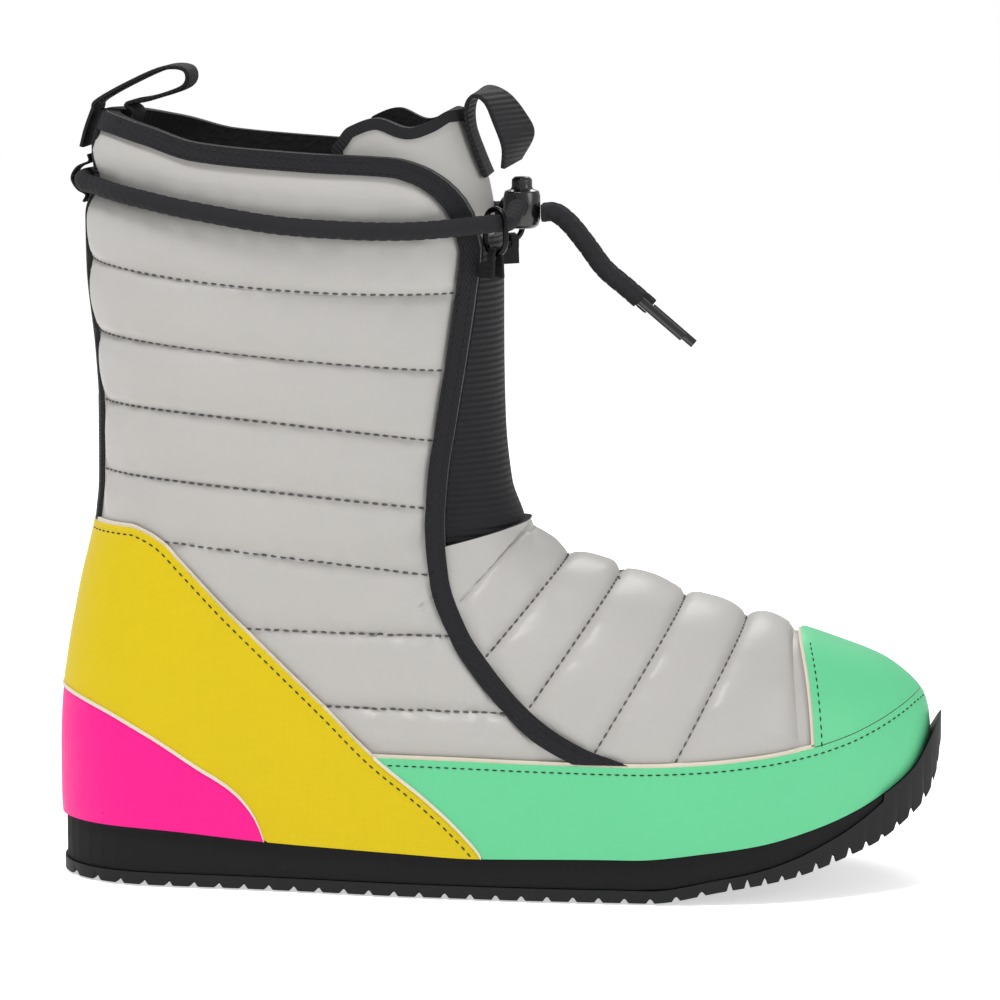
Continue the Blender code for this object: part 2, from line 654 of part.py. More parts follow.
# The tongue, and the elastic gore in front of it
tongue_outer = -WALL - 3 * GAP
tongue_inner = place_mesh("tongue_inner", form_mesh(COARSE, tongue_outer - TONGUE_THICK))
tongue_zs = np.linspace(INSTEP_HEIGHT * TONGUE_FOOT, COLLAR_HEIGHT * 0.962, 26)
tongue_outline = [(LENGTH * smooth(TONGUE_BACK, z / INSTEP_HEIGHT, "x"), z) for z in tongue_zs]
for x in np.linspace(float(tongue_outline[-1][0]), throat_x, 26)[1:]:
    tongue_outline.append((x, COLLAR_HEIGHT * smooth(TONGUE_TOP, x / LENGTH, "height")))
tongue_region = prism("tongue_region", tongue_outline + [(throat_x, INSTEP_HEIGHT * TONGUE_FOOT)])
shell("tongue", "quilted_grey", tongue_outer, tongue_inner, tongue_region, COARSE)

gore_inner = place_mesh("gore_inner", form_mesh(COARSE, -GORE_DEPTH - GORE_THICK))
gore_zs = np.linspace(THROAT_HEIGHT + GAP, COLLAR_HEIGHT * GORE_TOP, 24)
gore_outline = [(binding_x(z) + GAP, z) for z in gore_zs]
gore_outline += [(throat_x, COLLAR_HEIGHT * GORE_TOP), (throat_x, throat_line(throat_x) + GAP)]
gore_region = prism("gore_region", gore_outline)
shell("front_gore", "black_tape", -GORE_DEPTH, gore_inner, gore_region, COARSE)

# The sole unit: each layer's outline is the last's plan, stretched to its own heel and toe
SIDE_LEDGE = 0.0008
sole_start, sole_end = -HEEL_LEDGE, LENGTH + TOE_LEDGE
midsole_end = MIDSOLE_END * LENGTH
insole_inset = WALL + INSOLE_PLAY


def layer_half(x, start, end, out):
    """Half a layer's width at x."""
    return plan_half(fade(x - start, end - start) * LENGTH) * (1 + 2 * out / BALL_WIDTH)


def split_line(x):
    """Height of the outsole's upper face: it climbs to the feather line round the toe."""
    low = tread(x) + OUTSOLE_THICK
    return low + (feather(x) - low) * smooth(TOE_WRAP, x / LENGTH, "share")


def slab(name, colour, sections):
    """A closed body through cross-sections given as lists of points. A section with no width needs no end face."""
    mesh = bmesh.new()
    rings = [[mesh.verts.new(point) for point in section] for section in sections]
    for one, two in zip(rings, rings[1:]):
        for j in range(len(one)):
            k = (j + 1) % len(one)
            mesh.faces.new((one[j], one[k], two[k], two[j]))
    for ring in (rings[0], rings[-1]):
        if max(vert.co.y for vert in ring) - min(vert.co.y for vert in ring) > 1e-5:
            mesh.faces.new(ring)
    bmesh.ops.remove_doubles(mesh, verts=mesh.verts, dist=1e-5)
    bmesh.ops.dissolve_degenerate(mesh, edges=mesh.edges, dist=1e-6)
    return place_mesh(name, mesh, colour)


def layer_sections(bottom, top, start, end, stop, out, count):
    """Cross-sections of a flat layer of the sole, closer together at its round ends."""
    sections = []
    for turn in np.linspace(0, math.pi, count):
        x = start + (stop - start) * (1 - math.cos(turn)) / 2
        half, middle = float(layer_half(x, start, end, out)), float(plan_middle(x))
        low, high = float(bottom(x)), float(top(x))
        sections.append([(x, middle + s * half, z) for s, z in ((1, low), (1, high), (-1, high), (-1, low))])
    return sections


def outsole_sections():
    """Cross-sections of the outsole, with a notch at both edges between each pair of lugs."""
    fine = np.linspace(sole_start, sole_end, 1200)
    run = np.concatenate([[0], np.cumsum(np.hypot(np.diff(fine), np.diff(tread(fine))))])
    toe_run = np.interp(0.775 * LENGTH, fine, run)
    step_run = np.interp(midsole_end + GAP, fine, run)
    stations = [(0.0004, 0), (0.0012, 0), (0.0028, 0)]
    at = 0.0055
    while at < run[-1] - 0.004:
        pitch = LUG_PITCH if at < toe_run else TOE_LUG_PITCH
        stations += [(at, 0), (at + 0.15 * pitch, 1), (at + 0.30 * pitch, 0)]
        at += pitch
    stations = [station for station in stations if abs(station[0] - step_run) > 3 * GAP]
    stations += [(step_run, 0), (step_run + GAP, 0)]
    stations += [(run[-1] - 0.0022, 0), (run[-1] - 0.0010, 0), (run[-1] - 0.0004, 0)]
    sections = []
    for distance, notched in sorted(stations):
        x = float(np.interp(distance, run, fine))
        half, middle = float(layer_half(x, sole_start, sole_end, SIDE_LEDGE)), float(plan_middle(x))
        low = float(tread(x))
        high = float(split_line(x) if distance <= step_run else feather(x))
        high = max(high, low + GAP)
        deep = TREAD_DEPTH * notched
        chamfer = min(EDGE_CHAMFER, (high - low) * 0.4, half)
        side = [(max(half - TREAD_EDGE, half * 0.3), low), (half - chamfer, low + deep),
                (max(half - deep * 0.4, half * 0.9), low + chamfer + deep), (half, high)]
        side = [(y, min(z, high)) for y, z in side]
        sections.append([(x, middle + y, z) for y, z in side] + [(x, middle - y, z) for y, z in side[::-1]])
    return sections


slab("outsole", "black_rubber", outsole_sections())
slab("midsole", "black_foam",
     layer_sections(lambda x: split_line(x) + GAP, feather, sole_start + MIDSOLE_STEP, sole_end - MIDSOLE_STEP,
                    midsole_end, SIDE_LEDGE - MIDSOLE_STEP, 40))
slab("insole", "black_foam",
     layer_sections(over_feather, lambda x: over_feather(x) + INSOLE_THICK, insole_inset, LENGTH - insole_inset,
                    INSOLE_END * LENGTH, -insole_inset, 30))


def route(points, spacing):
    """A smooth curve through points chosen by hand, with a point every spacing."""
    points = [Vector([float(value) for value in point]) for point in points]
    ends = [points[0] * 2 - points[1]] + points + [points[-1] * 2 - points[-2]]
    dense = []
    for a, b, c, d in zip(ends, ends[1:], ends[2:], ends[3:]):
        for step in range(24):
            t = step / 24
            bend = (2 * a - 5 * b + 4 * c - d) * t**2 + (3 * b - a - 3 * c + d) * t**3
            dense.append((2 * b + (c - a) * t + bend) / 2)
    dense = np.array([tuple(p) for p in dense + [points[-1]]])
    run = np.concatenate([[0], np.cumsum(np.linalg.norm(np.diff(dense, axis=0), axis=1))])
    even = np.linspace(0, run[-1], max(int(round(run[-1] / spacing)), 2) + 1)
    return np.stack([np.interp(even, run, dense[:, axis]) for axis in range(3)], axis=1)


def tube(name, colour, points, diameter, closed=False, sides=2):
    curve = bpy.data.curves.new(name, "CURVE")
    curve.dimensions = "3D"
    curve.bevel_depth = diameter / 2
    curve.bevel_resolution = sides
    curve.use_fill_caps = True
    spline = curve.splines.new("POLY")
    spline.points.add(len(points) - 1)
    for point, at in zip(spline.points, points):
        point.co = (*at, 1)
    spline.use_cyclic_u = closed
    return place(name, curve, colour)


def band(name, colour, near, far, thickness):
    """A flat tape between two edges, each a list of points, with half its thickness on either side."""
    near, far = np.array(near, float), np.array(far, float)
    out = np.cross(np.gradient((near + far) / 2, axis=0), far - near)
    out = out / np.linalg.norm(out, axis=1, keepdims=True) * thickness / 2
    mesh = bmesh.new()
    rings = [[mesh.verts.new(p) for p in (n - o, n + o, f + o, f - o)] for n, f, o in zip(near, far, out)]
    for one, two in zip(rings, rings[1:]):
        for j in range(4):
            mesh.faces.new((one[j], one[(j + 1) % 4], two[(j + 1) % 4], two[j]))
    mesh.faces.new(rings[0])
    mesh.faces.new(rings[-1])
    return place_mesh(name, mesh, colour)


def flat_band(name, path, width, thickness):
    """A tape whose path lies in the side view and whose width runs across the boot."""
    path = route([(x, 0, z) for x, z in path], 2 * thickness)
    half = np.array([0, width / 2, 0])
    return band(name, "black_tape", path - half, path + half, thickness)


def spine_seat(z, thickness):
    """Where the middle of a tape of this thickness lies against the tape down the back."""
    return float(shaft_back(z)) - SPINE_TAPE - 2 * GAP - thickness / 2


# The pull loop at the back: sewn outside the collar, and tucked in behind it. Forward and lift are shares of its
# length, from where it passes the collar.
PULL_LOOP = rows(
    "forward lift",
    (0.047, 0.094), (0.375, 0.278), (0.75, 0.4375), (0.984, 0.42), (0.97, 0.25), (0.625, 0.12), (0.36, 0.06),
)
PULL_SEAT, PULL_TUCK = (0.952, 0.975, 1.0), (0.995, 0.965)
pull_path = []
for share in PULL_SEAT:
    pull_path.append((spine_seat(share * COLLAR_HEIGHT, TAPE_THICK) - 5 * GAP, share * COLLAR_HEIGHT))
pull_x = pull_path[-1][0]
for row in PULL_LOOP:
    pull_path.append((pull_x + PULL_LENGTH * row["forward"], COLLAR_HEIGHT + PULL_LENGTH * row["lift"]))
for share in PULL_TUCK:
    inside = float(shaft_back(share * COLLAR_HEIGHT)) + WALL + 17 * GAP + TAPE_THICK / 2
    pull_path.append((inside, share * COLLAR_HEIGHT))
flat_band("back_pull_loop", pull_path, PULL_WIDTH, TAPE_THICK)

# The drawcord lies in the topmost line of stitches, from the cord lock round the back and to the lock again
CORD_LINE = rows(
    "at height",
    (-0.05, 0.912), (0.03, 0.912), (0.06, 0.908), (0.12, 0.895), (0.18, 0.882), (0.30, 0.862), (0.41, 0.856),
    (0.485, 0.862), (0.60, 0.870),
)
CORD_END = 0.490


def cord_height(x):
    return COLLAR_HEIGHT * smooth(CORD_LINE, x / LENGTH, "height")


def cord_side():
    """The cord's middle on the outer side, from the ring at the front corner to the middle of the back."""
    turn = 0.72 * math.pi * np.linspace(0, 1, 400)
    end = CORD_END * LENGTH
    start = float(shaft_back(cord_height(0.0)))
    x = start + (end - start) * (1 - np.cos(turn)) / (1 - math.cos(turn[-1]))
    z = cord_height(x)
    half = half_width(x, z)
    half[0] = 0
    lift = np.max([quilting(x, z + share * CORD_DIAMETER) for share in (-0.5, -0.25, 0, 0.25, 0.5)], axis=0)
    lift = 0.85 * np.convolve(np.pad(lift, 12, mode="edge"), np.ones(25) / 25, mode="valid")
    on_tape = (SPINE_TAPE + GAP) * fade(SPINE_WIDTH / 2 + 0.009 - half, 0.005)
    on_edge = (SPINE_TAPE + GAP) * fade(x - binding_x(z) + BINDING_WIDTH + 0.004, 0.004)
    near_ring = fade(x - end + 0.022, 0.018)
    near_ring = (RING_WIRE + RING_PLAY + GAP) * near_ring * near_ring * (3 - 2 * near_ring)
    reach = CORD_DIAMETER / 2 + 2 * GAP + lift + np.maximum(on_tape, on_edge) + near_ring
    line = np.stack([x, -half], axis=1)
    along = np.gradient(line, axis=0)
    out = np.stack([along[:, 1], -along[:, 0]], axis=1)
    out /= np.linalg.norm(out, axis=1, keepdims=True)
    line = line + out * reach[:, None]
    line[0] = (x[0] - reach[0], 0)
    return np.stack([line[:, 0], line[:, 1], z], axis=1)[::-1]


side = cord_side()
ring_place = side[0]
onward = (side[0] - side[12]) / np.linalg.norm(side[0] - side[12])
level = np.array([onward[0], onward[1], 0.0]) / np.hypot(onward[0], onward[1])
ring_out = np.array([level[1], -level[0], 0.0])
lock_x = float(shaft_front(ring_place[2])) - GORE_DEPTH + GAP + LOCK_DIAMETER / 2
lock_z = float(ring_place[2]) + 0.2 * LOCK_HEIGHT
lock_side = np.array([lock_x, -LOCK_DIAMETER / 2 - 2 * GAP, lock_z])
turn_in = [lock_side, lock_side - np.array([0.15, 0.8, 0.0]) * CORD_DIAMETER, ring_place + onward * CORD_DIAMETER]
near_half = route(turn_in + list(side[4::18]) + [side[-1]], 1.5 * CORD_DIAMETER)
far_half = near_half[::-1][1:] * np.array([1, -1, 1])
tube("drawcord", "black_cord", np.concatenate([near_half, far_half]), CORD_DIAMETER)

# A ring on each front corner, round the cord, held by a folded tab that is sewn to the quarter below it
RING_FOLD = rows(
    "along up inward",
    (-1.15, -1.0, 1.0), (-1.0, -0.42, 1.0), (-1.0, -0.24, 0.0), (-1.0, 0.0, 0.0), (-0.7, 0.18, 0.0),
    (0.0, 0.256, 0.0),
    (0.7, 0.18, 0.0), (1.0, 0.0, 0.0), (1.0, -0.24, 0.0), (1.0, -0.42, 1.0), (1.15, -1.0, 1.0),
)
RING_POINTS = 16
ring_across = CORD_DIAMETER / 2 + RING_PLAY + RING_WIRE / 2
ring_tall = (RING_HEIGHT - RING_WIRE) / 2 - ring_across
ring_centre = ring_place - np.array([0, 0, ring_tall])
ring_bar = ring_centre - np.array([0, 0, ring_tall + ring_across])
ring_stand = ring_across + RING_WIRE / 2
hug = RING_WIRE / 2 + GAP + TAPE_THICK / 2
for side_name, sign in (("outer", 1), ("inner", -1)):
    mirror = np.array([1, sign, 1])
    loop = []
    for step in range(RING_POINTS):
        turn = (step + 0.5) / RING_POINTS * math.tau
        rise = ring_across * math.sin(turn) + math.copysign(ring_tall, math.sin(turn))
        loop.append((ring_centre + ring_out * ring_across * math.cos(turn) + np.array([0, 0, rise])) * mirror)
    tube(f"ring_{side_name}", "black_metal", loop, RING_WIRE, closed=True, sides=1)
    near, far = [], []
    for fold in RING_FOLD:
        at = ring_bar + level * hug * fold["along"] + np.array([0, 0, RING_TAB_DROP * fold["up"]])
        reach = RING_TAB_WIDTH / 2 + (ring_stand - RING_TAB_WIDTH / 2) * fold["inward"]
        near.append((at - ring_out * reach) * mirror)
        far.append((at + ring_out * RING_TAB_WIDTH / 2) * mirror)
    band(f"ring_tab_{side_name}", "black_tape", near, far, TAPE_THICK * 0.7)

# The keeper that holds the cord at the back
KEEPER_ROUTE = rows("out up", (0.55, 0.86), (1.0, 0.0), (0.55, -0.86))
cord_back = side[-1]
keep = CORD_DIAMETER / 2 + GAP + TAPE_THICK / 2
keeper_thick = TAPE_THICK * 0.6
keeper_rows = [(cord_back[0] - keep * row["out"], cord_back[2] + keep * row["up"]) for row in KEEPER_ROUTE]
over, below = [[(spine_seat(cord_back[2] + keep * share, keeper_thick) - 2 * GAP, cord_back[2] + keep * share)
                for share in shares] for shares in ((1.95, 1.35), (-1.35, -1.95))]
flat_band("cord_keeper", over + keeper_rows + below, KEEPER_WIDTH, keeper_thick)

# The cord lock in front of the gore, turned about its upright axis
LOCK_SHAPE = rows(
    "at radius",
    (0.00, 0.72), (0.06, 0.92), (0.16, 1.00), (0.62, 1.00), (0.72, 0.93), (0.76, 0.62), (0.80, 0.56), (0.94, 0.56),
    (1.00, 0.40),
)
LOCK_SIDES, LOCK_GRIP = 16, 0.42
lock_mesh = bmesh.new()
lock_rings = []
for row in LOCK_SHAPE:
    height = lock_z + LOCK_HEIGHT * (row["at"] - LOCK_GRIP)
    radius = LOCK_DIAMETER / 2 * row["radius"]
    turns = [math.tau * k / LOCK_SIDES for k in range(LOCK_SIDES)]
    points = [(lock_x + radius * math.cos(t), radius * math.sin(t), height) for t in turns]
    lock_rings.append([lock_mesh.verts.new(point) for point in points])
for one, two in zip(lock_rings, lock_rings[1:]):
    for k in range(LOCK_SIDES):
        lock_mesh.faces.new((one[k], one[(k + 1) % LOCK_SIDES], two[(k + 1) % LOCK_SIDES], two[k]))
lock_mesh.faces.new(lock_rings[0])
lock_mesh.faces.new(lock_rings[-1])
place_mesh("cord_lock", lock_mesh, "black_plastic")

# The two free ends of the cord, side by side, each with its hard tip
TAIL_ROUTE = rows(
    "forward drop apart",
    (0.0000, 0.0000, 0.0036), (0.0045, 0.0000, 0.0036), (0.0095, -0.0038, 0.0035), (0.0152, -0.0108, 0.0034),
    (0.0212, -0.0188, 0.0034), (0.0287, -0.0252, 0.0034),
)
TAIL_DROP = 0.002
tail_start = np.array([lock_x + LOCK_DIAMETER / 2 + 2 * GAP, 0, lock_z - TAIL_DROP])
for tail_name, sign, extra in (("outer", -1, 0.0), ("inner", 1, 0.0045)):
    points = [tail_start + np.array([row["forward"], sign * row["apart"], row["drop"]]) for row in TAIL_ROUTE]
    heading = (points[-1] - points[-2]) / np.linalg.norm(points[-1] - points[-2])
    tail = route(points + [points[-1] + heading * (CORD_DIAMETER + extra)], CORD_DIAMETER)
    tube(f"cord_end_{tail_name}", "black_cord", tail, CORD_DIAMETER, sides=3)
    tips = [tail[-1] + heading * (GAP + AGLET_LENGTH * share) for share in np.linspace(0, 1, 4)]
    tube(f"cord_tip_{tail_name}", "black_plastic", tips, AGLET_DIAMETER)

# The ribbed webbing loop in front of the tongue, slightly twisted: heights as shares of the collar's, and how far
# each edge stands in front of the tongue as a share of the loop's reach
FRONT_LOOP = rows(
    "near_z near_out far_z far_out",
    (0.916, 0.020, 0.917, 0.024), (0.943, 0.022, 0.944, 0.026), (0.977, 0.035, 0.979, 0.045),
    (1.006, 0.130, 1.0095, 0.190), (1.020, 0.310, 1.0275, 0.460), (1.0115, 0.475, 1.019, 0.770),
    (0.985, 0.515, 0.994, 0.960), (0.954, 0.505, 0.9675, 0.990), (0.9275, 0.350, 0.935, 0.600),
)


def loop_edge(edge, y):
    """One edge of the front loop, from its back run over the top to its front run."""
    points = []
    for row in FRONT_LOOP:
        z = COLLAR_HEIGHT * row[edge + "_z"]
        face = float(shaft_front(z)) + tongue_outer
        points.append((face + FRONT_PULL_REACH * row[edge + "_out"], y, z))
    line = route(points, TAPE_THICK / 3)
    return line[np.round(np.linspace(0, len(line) - 1, 24)).astype(int)]


band("front_pull_loop", "black_tape", loop_edge("near", -FRONT_PULL_WIDTH / 2),
     loop_edge("far", FRONT_PULL_WIDTH / 2), TAPE_THICK)
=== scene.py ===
"""An apres ski boot for the right foot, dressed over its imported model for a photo-like view."""

import math

import bmesh
import bpy
import numpy as np
from mathutils import Matrix, Vector
from mathutils.bvhtree import BVHTree


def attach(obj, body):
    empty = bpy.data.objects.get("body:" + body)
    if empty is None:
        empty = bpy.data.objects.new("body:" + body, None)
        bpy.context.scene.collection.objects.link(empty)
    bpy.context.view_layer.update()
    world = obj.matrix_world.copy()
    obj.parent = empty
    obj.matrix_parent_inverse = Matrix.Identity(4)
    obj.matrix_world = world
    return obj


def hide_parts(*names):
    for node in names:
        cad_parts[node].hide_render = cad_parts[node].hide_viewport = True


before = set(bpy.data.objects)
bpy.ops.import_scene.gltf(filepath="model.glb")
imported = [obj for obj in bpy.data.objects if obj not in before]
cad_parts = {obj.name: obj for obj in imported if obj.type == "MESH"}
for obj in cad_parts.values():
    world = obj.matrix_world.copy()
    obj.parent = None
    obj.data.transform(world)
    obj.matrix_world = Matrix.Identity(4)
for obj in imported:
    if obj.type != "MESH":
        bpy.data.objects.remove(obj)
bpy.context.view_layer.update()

# The view: a long lens at about shin height looks at the outer side, turned a little towards the toe.
VIEW_TURN, VIEW_AWAY, VIEW_HEIGHT = math.radians(5.0), 1.62, 0.345
aim = Vector((0.110, 0.0, 0.129))
dip = math.atan((VIEW_HEIGHT - aim.z) / VIEW_AWAY)
sight = Vector((-math.sin(VIEW_TURN) * math.cos(dip), math.cos(VIEW_TURN) * math.cos(dip), -math.sin(dip)))
lens = bpy.data.cameras.new("photo_camera")
lens.sensor_width = 36
lens.lens = 170.7
camera = bpy.data.objects.new("photo_camera", lens)
camera.location = aim - sight * VIEW_AWAY
camera.rotation_euler = sight.to_track_quat("-Z", "Y").to_euler()
bpy.context.scene.collection.objects.link(camera)
bpy.context.scene.camera = camera

# The studio: a wide pale floor, three soft boxes and an even white surround.
def soft_box(name, place, size, power):
    light = bpy.data.lights.new(name, "AREA")
    light.shape = "DISK"
    light.size = size
    light.energy = power
    box = bpy.data.objects.new(name, light)
    box.location = place
    box.rotation_euler = (aim - Vector(place)).to_track_quat("-Z", "Y").to_euler()
    bpy.context.scene.collection.objects.link(box)


bpy.context.scene.view_settings.view_transform = "Standard"
soft_box("key_box", (-0.40, -0.55, 1.70), 0.55, 19.0)
soft_box("fill_box", (1.35, -0.75, 0.65), 0.8, 5.0)
soft_box("back_box", (0.15, 1.25, 1.25), 0.9, 9.0)
surround = bpy.data.worlds.new("surround")
bpy.context.scene.world = surround
surround.use_nodes = True
surround.node_tree.nodes["Background"].inputs["Color"].default_value = (1.0, 1.0, 1.0, 1)
seen_or_lit = surround.node_tree.nodes.new("ShaderNodeMapRange")
seen_or_lit.inputs["To Min"].default_value = 0.50
seen_or_lit.inputs["To Max"].default_value = 1.0
backdrop = surround.node_tree.nodes.new("ShaderNodeLightPath").outputs["Is Camera Ray"]
surround.node_tree.links.new(backdrop, seen_or_lit.inputs["Value"])
white_light = surround.node_tree.nodes["Background"]
surround.node_tree.links.new(seen_or_lit.outputs["Result"], white_light.inputs["Strength"])
floor_mesh = bmesh.new()
bmesh.ops.create_grid(floor_mesh, x_segments=1, y_segments=1, size=4.0)
floor_data = bpy.data.meshes.new("studio_floor")
floor_mesh.to_mesh(floor_data)
floor_mesh.free()
studio_floor = bpy.data.objects.new("studio_floor", floor_data)
bpy.context.scene.collection.objects.link(studio_floor)
floor_paint = bpy.data.materials.new("pale_floor")
floor_paint.use_nodes = True
floor_paint.node_tree.nodes["Principled BSDF"].inputs["Base Color"].default_value = (0.86, 0.86, 0.855, 1)
floor_paint.node_tree.nodes["Principled BSDF"].inputs["Roughness"].default_value = 0.6
floor_paint.node_tree.nodes["Principled BSDF"].inputs["Emission Color"].default_value = (1.0, 1.0, 1.0, 1)
floor_paint.node_tree.nodes["Principled BSDF"].inputs["Emission Strength"].default_value = 0.56
floor_data.materials.append(floor_paint)

# The quilted upper: soft satin synthetic leather over padding, sewn through in rows, with a black fleece
# lining. It is one wall that follows the foot and the shaft, open at the collar, at the throat and
# underneath. The last, in metres
LENGTH = 0.2957
BALL_WIDTH = 0.102
INSTEP_HEIGHT = 0.122
COLLAR_HEIGHT = 0.262
SHAFT_DEPTH = 0.146
SHAFT_WIDTH = 0.100
SHAFT_MIDDLE = 0.0845
THROAT_HEIGHT = 0.1175
RAND_HEIGHT = 0.047

# The sole unit
HEEL_HEIGHT = 0.020
BALL_HEIGHT = 0.0145
TOE_SPRING = 0.030
BUMPER_HEIGHT = 0.057
TOE_LEDGE = 0.0054
HEEL_LEDGE = 0.0010
OUTSOLE_THICK = 0.0048
TREAD_DEPTH = 0.0013
LUG_PITCH = 0.00865
TOE_LUG_PITCH = 0.0058
HEEL_TREAD_X = 0.040

# Walls and layers
WALL = 0.0045
PANEL = 0.0015
SPINE_TAPE = 0.0012
SPINE_WIDTH = 0.029
BINDING_WIDTH = 0.0062
TONGUE_THICK = 0.0040
GORE_DEPTH = 0.0026
GORE_THICK = 0.0015
GAP = 0.0003
QUILT = 0.0026


def rows(names, *values):
    """A table with named columns."""
    return [dict(zip(names.split(), row)) for row in values]


def smooth(table, at, column):
    """A smooth curve through one column of a table. It never overshoots between two rows."""
    xs = np.array([row["at"] for row in table], float)
    ys = np.array([row[column] for row in table], float)
    steps = np.diff(xs)
    slopes = np.diff(ys) / steps
    tangents = np.zeros(len(xs))
    tangents[0], tangents[-1] = slopes[0], slopes[-1]
    for i in range(1, len(xs) - 1):
        if slopes[i - 1] * slopes[i] > 0:
            tangents[i] = 2 * slopes[i - 1] * slopes[i] / (slopes[i - 1] + slopes[i])
    at = np.clip(np.asarray(at, float), xs[0], xs[-1])
    i = np.clip(np.searchsorted(xs, at, side="right") - 1, 0, len(steps) - 1)
    t = (at - xs[i]) / steps[i]
    level = ys[i] * (1 + 2 * t) * (1 - t) ** 2 + ys[i + 1] * t * t * (3 - 2 * t)
    return level + steps[i] * t * (1 - t) * (tangents[i] * (1 - t) - tangents[i + 1] * t)


def fade(distance, reach):
    """0 below 0 and 1 past reach."""
    return np.clip(distance / reach, 0, 1)


# The sole's plan: place along the length, the middle line's offset and the half width as shares of half the
# ball
PLAN = rows(
    "at middle half",
    (0.00, 0.00, 0.72), (0.10, 0.00, 0.72), (0.20, -0.02, 0.74), (0.30, -0.06, 0.77), (0.42, -0.11, 0.82),
    (0.52, -0.10, 0.88), (0.62, -0.05, 0.95), (0.72, 0.00, 1.00), (0.82, 0.03, 0.99), (0.92, 0.10, 0.93),
    (1.00, 0.15, 0.82),
)
HEEL_ROUND, TOE_ROUND, ROUND_POWER = 0.042, 0.088, 2.15

# The vamp's ridge from the throat to the toe: place along the length, height as a share of the instep's
RIDGE = rows(
    "at height",
    (0.00, 1.36), (0.20, 1.34), (0.35, 1.25), (0.47, 1.09), (0.536, 0.985), (0.587, 0.908), (0.647, 0.860),
    (0.722, 0.793), (0.793, 0.735), (0.843, 0.702), (0.900, 0.655), (0.947, 0.610), (0.976, 0.560),
    (0.992, 0.515), (0.998, 0.465), (1.00, 0.400),
)

# The shaft: height as a share of the collar's; the back's and the front's distance from the middle as
# shares of half the depth; the half width as a share of half the shaft's width
SHAFT = rows(
    "at back front half",
    (0.00, 1.15, 1.02, 0.52), (0.16, 1.15, 1.02, 0.66), (0.25, 1.14, 1.02, 0.74), (0.37, 1.07, 1.05, 0.80),
    (0.465, 0.990, 1.050, 0.84), (0.52, 0.960, 0.990, 0.86), (0.60, 0.962, 0.960, 0.90),
    (0.69, 0.978, 0.952, 0.95), (0.80, 1.015, 0.950, 0.99), (0.865, 1.018, 0.945, 1.00),
    (0.912, 0.972, 0.920, 0.985), (0.95, 0.985, 0.865, 0.985),
    (1.00, 0.930, 0.800, 0.965), (1.06, 0.880, 0.740, 0.95),
)
FRONT_POWER, BACK_POWER = 2.15, 2.25

# The heel's back under the shaft: height, and how far forward it stands, as shares of the instep's height
HEEL_BACK = rows(
    "at forward",
    (0.0, 0.020), (0.15, 0.006), (0.23, 0.0), (0.36, 0.0), (0.53, 0.012), (0.78, 0.068), (1.00, 0.125),
    (1.30, 0.125),
)
HEEL_BLEND = 0.10

# The line where the upper meets the sole, as shares of the heel's, the ball's and the bumper's heights
FEATHER = rows(
    "at heel ball bumper",
    (0.00, 1.02, 0.0, 0.0), (0.10, 1.00, 0.0, 0.0), (0.25, 0.60, 0.34, 0.0), (0.40, 0.20, 0.77, 0.0),
    (0.50, 0.0, 0.98, 0.0), (0.67, 0.0, 1.04, 0.0), (0.744, 0.0, 1.0, 0.045), (0.812, 0.0, 1.0, 0.09),
    (0.880, 0.0, 1.0, 0.175), (0.930, 0.0, 1.0, 0.27), (0.964, 0.0, 1.0, 0.37), (0.9875, 0.0, 1.0, 0.465),
    (1.001, 0.0, 1.0, 0.57), (1.018, 0.0, 1.0, 0.745),
)
# The tread's underside: flat from heel to ball, then the toe spring
TREAD = rows(
    "at spring",
    (0.00, 0.0), (0.69, 0.0), (0.771, 0.13), (0.855, 0.27), (0.913, 0.45), (0.950, 0.59), (0.977, 0.76),
    (1.001, 0.97), (1.013, 1.24), (1.0183, 1.60),
)
# How far the outsole climbs the side at the toe, as a share of the sole's height above its own thickness
TOE_WRAP = rows("at share", (0.0, 0.0), (0.78, 0.0), (0.90, 0.42), (0.955, 0.80), (1.0, 1.0))
MIDSOLE_END = 0.952
RAND_TOP = rows(
    "at height",
    (0.00, 1.02), (0.37, 1.017), (0.46, 1.013), (0.58, 1.0), (0.67, 0.992), (0.74, 1.006), (0.812, 1.043),
    (0.873, 1.10), (0.913, 1.16), (0.947, 1.24), (0.975, 1.325), (0.995, 1.39), (1.02, 1.42),
)


def plan_half(x):
    """Half the last's width at x."""
    heel = fade(HEEL_ROUND - x, HEEL_ROUND)
    toe = fade(x - LENGTH + TOE_ROUND, TOE_ROUND)
    ends = ((1 - heel**ROUND_POWER) * (1 - toe**ROUND_POWER)) ** (1 / ROUND_POWER)
    return BALL_WIDTH / 2 * smooth(PLAN, x / LENGTH, "half") * ends


def plan_middle(x):
    """The last's middle line at x: it bends to the inner side at the toe."""
    return BALL_WIDTH / 2 * smooth(PLAN, x / LENGTH, "middle")


def ridge(x):
    return INSTEP_HEIGHT * smooth(RIDGE, x / LENGTH, "height")


def feather(x):
    """Height of the line where the upper meets the sole."""
    at = x / LENGTH
    low = HEEL_HEIGHT * smooth(FEATHER, at, "heel") + BALL_HEIGHT * smooth(FEATHER, at, "ball")
    return low + BUMPER_HEIGHT * smooth(FEATHER, at, "bumper")


def over_feather(x):
    return feather(x) + GAP


def tread(x):
    return TOE_SPRING * smooth(TREAD, x / LENGTH, "spring")


def rand_top(x):
    return RAND_HEIGHT * smooth(RAND_TOP, x / LENGTH, "height")


def shaft_back(z):
    return SHAFT_MIDDLE - SHAFT_DEPTH / 2 * smooth(SHAFT, z / COLLAR_HEIGHT, "back")


def shaft_front(z):
    return SHAFT_MIDDLE + SHAFT_DEPTH / 2 * smooth(SHAFT, z / COLLAR_HEIGHT, "front")


def heel_back(z):
    return INSTEP_HEIGHT * smooth(HEEL_BACK, z / INSTEP_HEIGHT, "forward")


